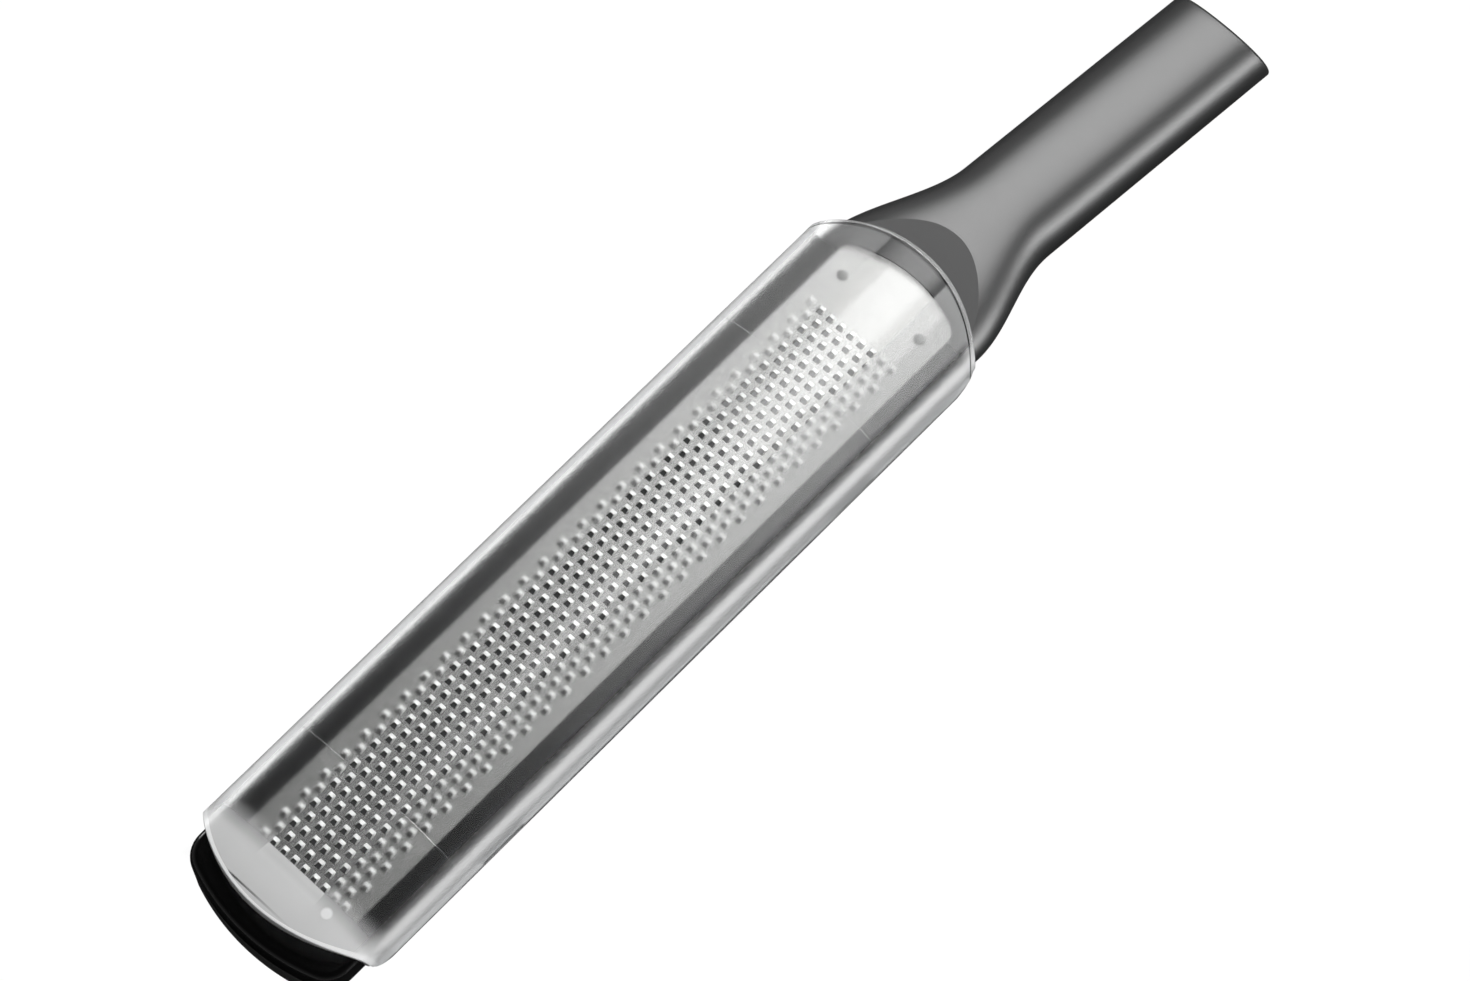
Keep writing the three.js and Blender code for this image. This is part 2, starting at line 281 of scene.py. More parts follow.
@dataclass(frozen=True)
class OutlineEnd:
    """One end of a plan outline.

    Attributes:
        x: Place of its middle.
        corner: Radius of its two corners.
        radius: Radius of its arc, or None for a straight end.
        steps: Points on the end between the corners.
    """

    x: float
    corner: float
    radius: float | None = None
    steps: int = 24

    def inset(self, depth: float, side: int) -> "OutlineEnd":
        """Draws the end in, its radii with it.

        Args:
            depth: How far it is drawn in, or out where this is negative.
            side: 1 for the rear end, -1 for the front one.

        Returns:
            The new end.
        """
        radius = None if self.radius is None else self.radius - depth
        corner = max(self.corner - depth, SMALLEST_CORNER)
        return OutlineEnd(self.x - side * depth, corner, radius, self.steps)

    def points(self, side: int, half: float, corner_steps: int = 8) -> np.ndarray:
        """Runs round the end: a corner arc, the end's own arc or straight, and a corner arc.

        The arc of radius R about a point on the axis meets corner arcs of radius r whose middles lie
        at (sqrt((R - r)^2 - (half - r)^2), half - r) from that point.

        Args:
            side: 1 for the rear end, -1 for the front one.
            half: Half the outline's width.
            corner_steps: Points on each corner.

        Returns:
            Points in plan, from the end's own right corner to its left one.
        """
        x, r = side * self.x, self.corner
        rise = half - r
        if self.radius is None:
            fillet_x, angle = x - r, 0.0
            across = np.linspace(-rise, rise, self.steps, endpoint=False)
            middle = np.column_stack([np.full_like(across, x), across])
        else:
            centre_x = x - self.radius
            fillet_x = centre_x + math.sqrt((self.radius - r) ** 2 - rise ** 2)
            angle = math.asin(rise / (self.radius - r))
            turn = np.linspace(-angle, angle, self.steps, endpoint=False)
            middle = arc(centre_x, 0.0, self.radius, turn)
        right = arc(fillet_x, -rise, r, np.linspace(-math.pi / 2, -angle, corner_steps, endpoint=False))
        left = arc(fillet_x, rise, r, np.linspace(angle, math.pi / 2, corner_steps + 1))
        return side * np.concatenate([right, middle, left])


@dataclass(frozen=True)
class Outline:
    """A plan outline along x, with a front and a rear end.

    Attributes:
        half: Half its width.
        front: Its front end.
        rear: Its rear end.
        side_steps: Points inside each straight side.
    """

    half: float
    front: OutlineEnd
    rear: OutlineEnd
    side_steps: int = 30

    def inset(self, depth: float, rear_depth: float | None = None) -> "Outline":
        """Draws the outline in by a depth, with another depth at the rear end if one is given."""
        rear = self.rear.inset(depth if rear_depth is None else rear_depth, 1)
        return Outline(self.half - depth, self.front.inset(depth, -1), rear, self.side_steps)

    def loop(self) -> np.ndarray:
        """Closed loop: the rear end, the left side, the front end and the right side.

        Returns:
            Points in plan, as many for every outline of the same steps.
        """
        rear, front = self.rear.points(1, self.half), self.front.points(-1, self.half)
        share = np.linspace(0.0, 1.0, self.side_steps + 2)[1:-1, None]
        left = rear[-1] + (front[0] - rear[-1]) * share
        right = front[-1] + (rear[0] - front[-1]) * share
        return np.concatenate([rear, left, front, right])

    def ring(self, height: float) -> np.ndarray:
        """The loop's points at a height."""
        plan = self.loop()
        return np.column_stack([plan, np.full(len(plan), height)])


class NodeTree:
    """A node tree with short calls to fill it."""

    def __init__(self, tree: bpy.types.NodeTree, coordinate: str) -> None:
        """Takes a tree, and adds the coordinate that tells its points or directions apart.

        Args:
            tree: The tree of a material or of the sky.
            coordinate: Name of the texture coordinate.
        """
        self.tree = tree
        self.coordinate = self.new("TexCoord").outputs[coordinate]

    def new(self, kind: str, **settings: str) -> bpy.types.Node:
        """Adds a node.

        Args:
            kind: Kind of the node.
            settings: Its settings, such as its operation.

        Returns:
            The node.
        """
        node = self.tree.nodes.new(f"ShaderNode{kind}")
        for name, value in settings.items():
            setattr(node, name, value)
        return node

    def fill(self, target: Socket, value: object) -> None:
        """Joins an output to an input, or sets the input to a plain value.

        Args:
            target: The input.
            value: The output or the value.
        """
        if isinstance(value, Socket):
            self.tree.links.new(value, target)
        else:
            target.default_value = value

    def math(self, operation: str, first: object, second: object = 0.0) -> Socket:
        """Works out an operation on two values or outputs.

        Args:
            operation: Name of the operation.
            first: First value or output.
            second: Second value or output.

        Returns:
            The result's output.
        """
        node = self.new("Math", operation=operation)
        for target, value in zip(node.inputs, (first, second)):
            self.fill(target, value)
        return node.outputs[0]

    def product(self, *factors: object) -> Socket:
        """Multiplies values or outputs."""
        return reduce(partial(self.math, "MULTIPLY"), factors)

    def highest(self, *values: object) -> Socket:
        """Highest of values or outputs."""
        return reduce(partial(self.math, "MAXIMUM"), values)

    def length(self, *parts: Socket) -> Socket:
        """Length of a step from its two parts: sqrt(a^2 + b^2)."""
        return self.math("SQRT", self.math("ADD", *(self.product(part, part) for part in parts)))

    def ramp(self, source: Socket, span: Pair, values: Pair) -> Socket:
        """Maps a span of a value to two values, smoothly and held beyond it.

        Args:
            source: The value's output.
            span: Where the change starts and ends.
            values: The values there.

        Returns:
            The mapped output.
        """
        node = self.new("MapRange", interpolation_type="SMOOTHSTEP")
        names = ("Value", "From Min", "From Max", "To Min", "To Max")
        for name, value in zip(names, (source, *span, *values)):
            self.fill(node.inputs[name], value)
        return node.outputs["Result"]

    def along(self, direction: np.ndarray | Triple, offset: float = 0.0) -> Socket:
        """Share of the coordinate along a direction, less an offset: p . d - o.

        Args:
            direction: The direction d.
            offset: The offset o, in metres for a point.

        Returns:
            The share's output.
        """
        node = self.new("VectorMath", operation="DOT_PRODUCT")
        self.fill(node.inputs[0], self.coordinate)
        self.fill(node.inputs[1], direction)
        return self.math("SUBTRACT", node.outputs["Value"], offset)


class Nodes(NodeTree):
    """The nodes of a new material round a principled shader."""

    def __init__(self, name: str) -> None:
        """Makes a material with an output and a shader.

        Args:
            name: Name of the material.
        """
        self.material = bpy.data.materials.new(name)
        self.material.use_nodes = True
        self.material.node_tree.nodes.clear()
        super().__init__(self.material.node_tree, "Object")
        self.surface = self.new("OutputMaterial").inputs["Surface"]
        self.shader = self.new("BsdfPrincipled")
        self.fill(self.surface, self.shader.outputs["BSDF"])

    def set(self, **values: object) -> None:
        """Fills inputs of the shader, with spaces in their names written as underscores."""
        for name, value in values.items():
            self.fill(self.shader.inputs[name.replace("_", " ")], value)

    def noise(self, size: float, stretch: Triple = (1.0, 1.0, 1.0), detail: float = 2.0) -> Socket:
        """Noise with grains of a size, stretched along the axes.

        Args:
            size: Size of a grain, in millimetres.
            stretch: How much longer a grain is along x, y and z.
            detail: Finer layers of the noise.

        Returns:
            The noise's output, from 0 to 1.
        """
        mapping = self.new("Mapping")
        self.fill(mapping.inputs["Scale"], [1.0 / (size * MM * s) for s in stretch])
        self.fill(mapping.inputs["Vector"], self.coordinate)
        node = self.new("TexNoise")
        self.fill(node.inputs["Scale"], 1.0)
        self.fill(node.inputs["Detail"], detail)
        self.fill(node.inputs["Vector"], mapping.outputs["Vector"])
        return node.outputs["Fac"]

    def mix(self, source: Socket, low: object, high: object) -> Socket:
        """Mixes two colours, or outputs of colours, by a value.

        Args:
            source: The value's output.
            low: Colour at 0.
            high: Colour at 1.

        Returns:
            The mixed colour's output.
        """
        node = self.new("Mix", data_type="RGBA")
        self.fill(node.inputs["Factor"], source)
        for name, colour in (("A", low), ("B", high)):
            target = next(s for s in node.inputs if s.name == name and s.type == "RGBA")
            self.fill(target, colour if isinstance(colour, Socket) else (*colour, 1.0))
        return next(s for s in node.outputs if s.type == "RGBA")

    def tint(self, source: Socket, low: object, high: object) -> None:
        """Gives the shader a base colour that is a mix of two colours by a value."""
        self.set(Base_Color=self.mix(source, low, high))

    def bump(self, height: Socket, depth: float, strength: object = 1.0) -> None:
        """Bumps the surface.

        Args:
            height: The height's output, from 0 to 1.
            depth: What a height of 1 is worth, in millimetres.
            strength: Strength of the bump, as a value or an output.
        """
        node = self.new("Bump")
        for name, value in (("Distance", depth * MM), ("Strength", strength), ("Height", height)):
            self.fill(node.inputs[name], value)
        self.set(Normal=node.outputs["Normal"])


@dataclass(frozen=True)
class MouldedPlastic:
    """Dark moulded plastic with a fine grain.

    Attributes:
        name: Name of the finish.
        dark: Colour in the hollows of its slight mottling.
        pale: Colour on the rest.
        roughness: Lowest and highest roughness.
        specular: Specular level.
        grain: Size of the moulded grain, in millimetres.
        depth: Depth of the grain, in millimetres.
        mottle: Size of the mottling, in millimetres.
    """

    name: str
    dark: Triple
    pale: Triple
    roughness: Pair
    specular: float
    grain: float
    depth: float
    mottle: float = 6.0

    def material(self) -> Material:
        """Mottles the colour, and grains the roughness and the bump.

        Returns:
            The material.
        """
        nodes = Nodes(self.name)
        nodes.tint(nodes.noise(self.mottle), self.dark, self.pale)
        grain = nodes.noise(self.grain)
        nodes.set(Roughness=nodes.ramp(grain, NOISE_RANGE, self.roughness), Specular_IOR_Level=self.specular)
        nodes.bump(grain, self.depth)
        return nodes.material


@dataclass(frozen=True)
class SatinSteel:
    """Stainless steel with a fine satin grain along the blade.

    Attributes:
        name: Name of the finish.
        dark: Colour in the grain's lines.
        pale: Colour between them.
        roughness: Lowest and highest roughness.
        metallic: Share of bright metal; the rest is pale and matt, which on the teeth is painted light that
            makes their hoods look lit.
        grain: Width of a grain line, in millimetres.
        stretch: How much longer a line is along x, y and z.
        depth: Depth of the lines, in millimetres.
    """

    name: str
    dark: Triple
    pale: Triple
    roughness: Pair
    metallic: float = 1.0
    grain: float = 0.12
    stretch: Triple = (33.0, 1.0, 4.0)
    depth: float = 0.0008

    def material(self) -> Material:
        """Draws grain lines along the blade in the colour, the roughness and the bump.

        Returns:
            The material.
        """
        nodes = Nodes(self.name)
        lines = nodes.noise(self.grain, self.stretch)
        nodes.tint(lines, self.dark, self.pale)
        nodes.set(Roughness=nodes.ramp(lines, NOISE_RANGE, self.roughness), Metallic=self.metallic)
        nodes.bump(lines, self.depth)
        return nodes.material


@dataclass(frozen=True)
class ClearPlastic:
    """Clear plastic, frosted beside a clear strip, with painted light and shade on it: a front end that
    scatters white as a painted reflection, glowing rims, a painted glint and painted light on the sides, and
    painted shade in a dark line inside the rear rim and in darker walls.

    Attributes:
        name: Name of the finish.
        strip: Edges of the clear strip, in y, in millimetres.
        strip_edge: Width of the strip's soft edges.
        painted_veil_x: Where the painted reflection on the front end stops, in x, in millimetres.
        painted_veil_edges: Half the width of its edge in the strip and beside it, in millimetres.
        painted_veil_share: Share of light that the front end scatters, a painted reflection: the pale veil
            of the lamp's reflection there.
        painted_veil_fades: Spans in x over which that share changes, each with its factors there.
        painted_rim_light: Share of light that the front and rear rims scatter, painted light that makes them
            glow with the light that the plastic carries to its edges.
        rim_widths: Width of the front and rear rims.
        rim_soft: Half the width of a rim's soft edge.
        painted_rim_shade: Width of the painted shade line, a dark line just inside the rear rim.
        painted_side_light: Share of light that the frosted sides scatter in front and behind, a painted
            light that brightens them towards the rear.
        painted_side_light_span: Where along x that share starts and ends to grow.
        painted_side_light_left: How much of it the left side has.
        painted_side_light_edge: Where in y it ends and starts to fade on the right side, leaving a painted
            shade line along the right rail's outer edge.
        painted_side_light_rise: Heights over the blade where it starts and is full.
        painted_shoulder_light: Share of light that the right shoulder scatters, a painted light for the
            bright band that it reflects.
        shoulder_span: Where in y the right shoulder is full and where it starts.
        painted_glint: Place in x and y of a painted glint: a round white spot on the cover that stands in
            for the front right rivet's glint seen through it.
        painted_glint_radii: Radii where the painted glint's soft edge starts and ends.
        line_x: Place of the fine line across the front end that the painted reflection leaves out.
        line_edge: Distances from its middle where the line is full and where it ends.
        line_half: Half the length of that line.
        line_tip: Length over which the line ends.
        line_shares: How clear the line is at its right and left ends.
        clear_roughness: Roughness of the clear strip.
        frost_roughness: Roughness of the frosted sides.
        shoulder_roughness: How much rougher the shoulders are.
        shoulder_reach: Distances from the middle where they start and where that is full.
        grain: Size of the frosting's grain, in millimetres.
        grain_depth: Depth of that grain.
        colour: Colour of the plastic.
        painted_wall_shade: Its colour in the upright walls, a painted shade that darkens them towards the
            bottom.
        wall_rise: Heights over the blade where that painted shade starts to fade and where it is gone.
        painted_shade_colour: Colour of the painted shade line inside the rear rim.
        refraction: Index of refraction.
    """

    name: str = "clear_cover_plastic"
    strip: Pair = (-10.9, 8.6)
    strip_edge: float = 0.6
    painted_veil_x: float = 8.6
    painted_veil_edges: Pair = (0.2, 5.0)
    painted_veil_share: float = 0.64
    painted_veil_fades: tuple[tuple[Pair, Pair], ...] = (
        ((-3.0, 3.0), (0.94, 1.0)),
        ((5.0, 7.0), (1.0, 0.85)),
    )
    painted_rim_light: Pair = (0.97, 0.2)
    rim_widths: Pair = (1.45, 1.7)
    rim_soft: float = 0.05
    painted_rim_shade: float = 0.35
    painted_side_light: Pair = (0.0, 0.19)
    painted_side_light_span: Pair = (30.0, 225.0)
    painted_side_light_left: float = 0.35
    painted_side_light_edge: Pair = (-25.6, -23.6)
    painted_side_light_rise: Pair = (0.0, 3.0)
    painted_shoulder_light: float = 0.5
    shoulder_span: Pair = (-28.0, -26.9)
    painted_glint: Pair = (5.3, -14.6)
    painted_glint_radii: Pair = (1.0, 2.4)
    line_x: float = -3.4
    line_edge: Pair = (0.15, 0.4)
    line_half: float = 10.5
    line_tip: float = 0.4
    line_shares: Pair = (0.1, 0.9)
    clear_roughness: float = 0.01
    frost_roughness: float = 0.21
    shoulder_roughness: float = 0.1
    shoulder_reach: Pair = (23.0, 27.0)
    grain: float = 0.12
    grain_depth: float = 0.0028
    colour: Triple = (0.975, 0.98, 0.98)
    painted_wall_shade: Triple = (0.78, 0.79, 0.795)
    wall_rise: Pair = (-4.0, 0.0)
    painted_shade_colour: Triple = (0.08, 0.08, 0.08)
    refraction: float = 1.49

    def rim(self, nodes: Nodes, run: Socket, apex: float, radius: float, width: float, way: int) -> Socket:
        """Tells a rim from the rest, by the distance from the axis of its arc.

        Args:
            nodes: The material's nodes.
            run: Place along x, in metres.
            apex: Place of the rim's middle.
            radius: Radius of its arc.
            width: Width of the rim.
            way: 1 for the rear end, -1 for the front one.

        Returns:
            1 on the rim and 0 elsewhere.
        """
        ahead = nodes.product(nodes.math("SUBTRACT", run, (apex - way * radius) * MM), way)
        away = nodes.length(nodes.highest(ahead, 0.0), nodes.along(AXIS_Y))
        edge = radius - width
        return nodes.ramp(away, metres(edge - self.rim_soft, edge + self.rim_soft), (0.0, 1.0))

    def painted_veil(self, nodes: Nodes, run: Socket, reach: Socket, frost: Socket) -> Socket:
        """Share of light that the front end scatters as a painted reflection, apart from the fine line
        across it that is left clear.

        Args:
            nodes: The material's nodes.
            run: Place along x, in metres.
            reach: Place along y, in metres.
            frost: 1 on the frosted sides and 0 in the strip.

        Returns:
            The share.
        """
        edge = nodes.ramp(frost, (0.0, 1.0), metres(*self.painted_veil_edges))
        past = nodes.math("DIVIDE", nodes.math("SUBTRACT", run, self.painted_veil_x * MM), edge)
        painted_veil = nodes.ramp(past, (-1.0, 1.0), (self.painted_veil_share, 0.0))
        for span, factors in self.painted_veil_fades:
            painted_veil = nodes.product(painted_veil, nodes.ramp(run, metres(*span), factors))
        from_line = nodes.math("ABSOLUTE", nodes.math("SUBTRACT", run, self.line_x * MM))
        on_line = nodes.ramp(from_line, metres(*self.line_edge), (1.0, 0.0))
        tip = metres(self.line_half, self.line_half + self.line_tip)
        near = nodes.ramp(nodes.math("ABSOLUTE", reach), tip, (1.0, 0.0))
        fading = nodes.ramp(reach, metres(-self.line_half, self.line_half), self.line_shares)
        return nodes.product(painted_veil, nodes.math("SUBTRACT", 1.0, nodes.product(on_line, near, fading)))

    def painted_side_scatter(self, nodes: Nodes, run: Socket, reach: Socket, height: Socket) -> Socket:
        """Painted light on the sides: a share of scattered light that is more behind than in front and most
        in the right shoulder, where the lamps light them.

        Args:
            nodes: The material's nodes.
            run: Place along x, in metres.
            reach: Place along y, in metres.
            height: Height over the blade, in metres.

        Returns:
            The share.
        """
        painted_side_light = nodes.ramp(run, metres(*self.painted_side_light_span), self.painted_side_light)
        sides = nodes.ramp(reach, metres(*self.strip), (1.0, self.painted_side_light_left))
        # The painted side light fades out before the right rail's outer edge, which is left as a painted
        # shade line.
        inside = nodes.ramp(reach, metres(*self.painted_side_light_edge), (0.0, 1.0))
        shoulder = nodes.ramp(reach, metres(*self.shoulder_span), (self.painted_shoulder_light, 0.0))
        over_blade = nodes.ramp(height, metres(*self.painted_side_light_rise), (0.0, 1.0))
        return nodes.product(nodes.highest(nodes.product(painted_side_light, sides, inside), shoulder), over_blade)

    def material(self, placement: Placement, cover: "Cover") -> Material:
        """Frosts by the distance from the strip's middle, and at each point scatters the highest of its
        painted light shares: the painted reflection at the front end, the painted rim light, the painted
        glint and the painted light on the sides.

        Args:
            placement: Where the blade's plane lies.
            cover: The cover whose rims get the painted rim light.

        Returns:
            The material.
        """
        nodes = Nodes(self.name)
        forward, _, upward = placement.turn().T
        run, height = (nodes.along(axis, float(axis @ placement.origin)) for axis in (forward, upward))
        reach = nodes.along(AXIS_Y)
        half, middle = (self.strip[1] - self.strip[0]) / 2, (self.strip[1] + self.strip[0]) / 2
        aside = nodes.math("ABSOLUTE", nodes.along(AXIS_Y, middle * MM))
        soft = self.strip_edge / 2
        frost = nodes.ramp(aside, metres(half - soft, half + soft), (0.0, 1.0))
        ends = zip((cover.front_x, cover.rear_x), cover.end_radii, self.rim_widths, (-1, 1))
        rims = [self.rim(nodes, run, *end) for end in ends]
        # Painted light: the front rim is made almost white and the rear rim pale, standing in for light that
        # the plastic carries to its edges.
        painted_rim_glow = [nodes.product(rim, share) for rim, share in zip(rims, self.painted_rim_light)]
        # Painted glint: a round white spot on the cover stands in for the front right rivet's glint seen
        # through it.
        steps = [nodes.math("SUBTRACT", place, spot * MM) for place, spot in zip((run, reach), self.painted_glint)]
        painted_glint = nodes.ramp(nodes.length(*steps), metres(*self.painted_glint_radii), (self.painted_rim_light[0], 0.0))
        # Painted reflection: the front end scatters white, the pale veil of the lamp's reflection there,
        # with a fine line across it left clear.
        painted_veil = self.painted_veil(nodes, run, reach, frost)
        # Painted light: the frosted sides scatter more towards the rear and in the right shoulder, where the
        # lamps light them.
        painted_side_light = nodes.product(self.painted_side_scatter(nodes, run, reach, height), frost)
        scatter = nodes.highest(*painted_rim_glow, painted_glint, painted_veil, painted_side_light)
        dull = nodes.highest(frost, nodes.product(scatter, 1.0 / self.painted_veil_share))
        rough = nodes.ramp(dull, (0.0, 1.0), (self.clear_roughness, self.frost_roughness))
        outer = nodes.ramp(nodes.math("ABSOLUTE", reach), metres(*self.shoulder_reach),
                           (0.0, self.shoulder_roughness))
        nodes.set(Transmission_Weight=nodes.math("SUBTRACT", 1.0, scatter),
                  Roughness=nodes.math("ADD", rough, outer), IOR=self.refraction)
        nodes.bump(nodes.noise(self.grain), self.grain_depth, frost)
        # Painted shade: the upright walls are tinted darker towards the bottom.
        upper = nodes.ramp(height, metres(*self.wall_rise), (0.0, 1.0))
        plastic = nodes.mix(upper, self.painted_wall_shade, self.colour)
        # Painted shade: a dark line just inside the rear rim.
        line_width = self.rim_widths[1] + self.painted_rim_shade
        inner = self.rim(nodes, run, cover.rear_x, cover.end_radii[1], line_width, 1)
        nodes.tint(nodes.math("SUBTRACT", inner, rims[1]), plastic, self.painted_shade_colour)
        return nodes.material


@dataclass(frozen=True)
class Teeth:
    """Staggered square pattern of teeth on the blade.

    Attributes:
        pitch: Distance between rows, and between the teeth of a row.
        first_x: Place of the first row.
        rows: Number of rows.
        full_row: Teeth in the first row and every other one, with one fewer between them.
        opening: Front and rear edge of an opening, from the tooth's middle.
        opening_half: Half the opening's width.
        foot_x: Place of the hood's two feet, from the tooth's middle.
        lip_x: Place of the cutting lip between them.
        root_x: Place of the hood's root behind the lip.
        hood_half: Half the hood's width at the feet.
        hood_height: Height of the lip.
        wall: Thickness of the hood.
        sink: How far the hood's edge lies in the sheet.
        notch: Shares of the half width where the lip starts and ends to turn into a foot.
        flatness: Power of the hood's arch, higher for a flatter crown.
        crowding: Power that crowds the points across the arch towards the feet.
        narrowing: How much the hood narrows towards its root.
    """

    pitch: float = 3.5
    first_x: float = 10.5
    rows: int = 57
    full_row: int = 9
    opening: Pair = (-0.6, 0.95)
    opening_half: float = 0.82
    foot_x: float = -0.5
    lip_x: float = 0.75
    root_x: float = 1.97
    hood_half: float = 1.15
    hood_height: float = 0.44
    wall: float = 0.15
    sink: float = 0.03
    notch: Pair = (0.6, 0.82)
    flatness: float = 8.0
    crowding: float = 0.4
    narrowing: float = 0.6

    def middles(self) -> np.ndarray:
        """Middles of all teeth: rows a pitch apart, every other one shifted by half a pitch.

        Returns:
            Array of teeth by x and y.
        """
        row, column = np.meshgrid(np.arange(self.rows), np.arange(self.full_row), indexing="ij")
        y = (column - (self.full_row - 1) / 2 + 0.5 * (row % 2)) * self.pitch
        x = self.first_x + row * self.pitch
        kept = (row % 2 == 0) | (column < self.full_row - 1)
        return np.stack([x[kept], y[kept]], axis=1)

    def hood_sheet(self, inward: float, steps: tuple[int, int] = (4, 9)) -> np.ndarray:
        """One side of a hood: a horseshoe that rises from its feet to the lip and falls to its root.

        At the share s behind its front edge, and c across it from -1 to 1, it lies at
        y = w c sqrt(1 - (k s)^2) and z = h (1 - |c|^n) f(x), with its narrowing k and flatness n.
        There f eases from 0 at the feet to 1 at the lip and falls evenly to the root.

        Args:
            inward: How far this side lies inside the outer one.
            steps: Points along the hood and across its arch.

        Returns:
            Array of steps by 3, round the tooth's middle.
        """
        share = np.linspace(0.0, 1.0, steps[0])[:, None]
        across = signed_power(np.linspace(-1.0, 1.0, steps[1])[None, :], self.crowding)
        start, end = self.notch
        turned = smooth_step((np.abs(across) - start) / (end - start))
        front = self.lip_x - (self.lip_x - self.foot_x) * turned
        x = front + (self.root_x - inward - front) * share
        y = (self.hood_half - inward) * np.sqrt(1.0 - (self.narrowing * share) ** 2) * across
        up = smooth_step((x - self.foot_x) / (self.lip_x - self.foot_x))
        down = (self.root_x - inward - x) / (self.root_x - inward - self.lip_x)
        crown = 1.0 - np.abs(across) ** self.flatness
        z = (self.hood_height - inward) * crown * np.minimum(up, down) - self.sink
        return np.stack(np.broadcast_arrays(x, y, z), axis=-1)

    def hood(self) -> tuple[np.ndarray, np.ndarray]:
        """One closed hood: its outer and inner sides, joined along their edges.

        Returns:
            Its points and its quads.
        """
        outer, inner = self.hood_sheet(0.0), self.hood_sheet(self.wall)
        part = Surface().grid(outer).grid(inner[:, ::-1])
        for rim in (np.s_[0], np.s_[-1], np.s_[:, 0], np.s_[:, -1]):
            part.grid(np.stack([outer[rim], inner[rim]]))
        return np.concatenate(part.points), np.concatenate(part.faces)

    def lines(self) -> tuple[np.ndarray, np.ndarray]:
        """Lines of the sheet's grid, which pass along every opening's edges.

        Returns:
            The lines' places in x and in y.
        """
        x = self.first_x + np.arange(self.rows)[:, None] * self.pitch
        x = x + np.array([-self.pitch / 2, *self.opening])
        end = self.first_x + (self.rows - 0.5) * self.pitch
        half_pitch = self.pitch / 2
        columns = np.arange(-self.full_row, self.full_row)[:, None] * half_pitch
        y = columns + np.sort([0.0, half_pitch - self.opening_half, self.opening_half])
        return np.append(x.ravel(), end), np.append(y.ravel(), self.full_row * half_pitch)

    def is_open(self, x: np.ndarray, y: np.ndarray) -> np.ndarray:
        """Whether points lie in an opening: near a tooth's middle in x and in y.

        Args:
            x: Places in x.
            y: Places in y.

        Returns:
            True where a point lies in an opening.
        """
        row = np.clip(np.round((x - self.first_x) / self.pitch), 0, self.rows - 1)
        across = y / self.pitch - 0.5 * (row % 2)
        column = np.round(across)
        lowest = -(self.full_row - 1) / 2
        kept = (column >= lowest) & (column <= (self.full_row - 1) / 2 - (row % 2))
        near_y = np.abs(across - column) * self.pitch < self.opening_half
        run = x - self.first_x - row * self.pitch
        return kept & near_y & (run > self.opening[0]) & (run < self.opening[1])


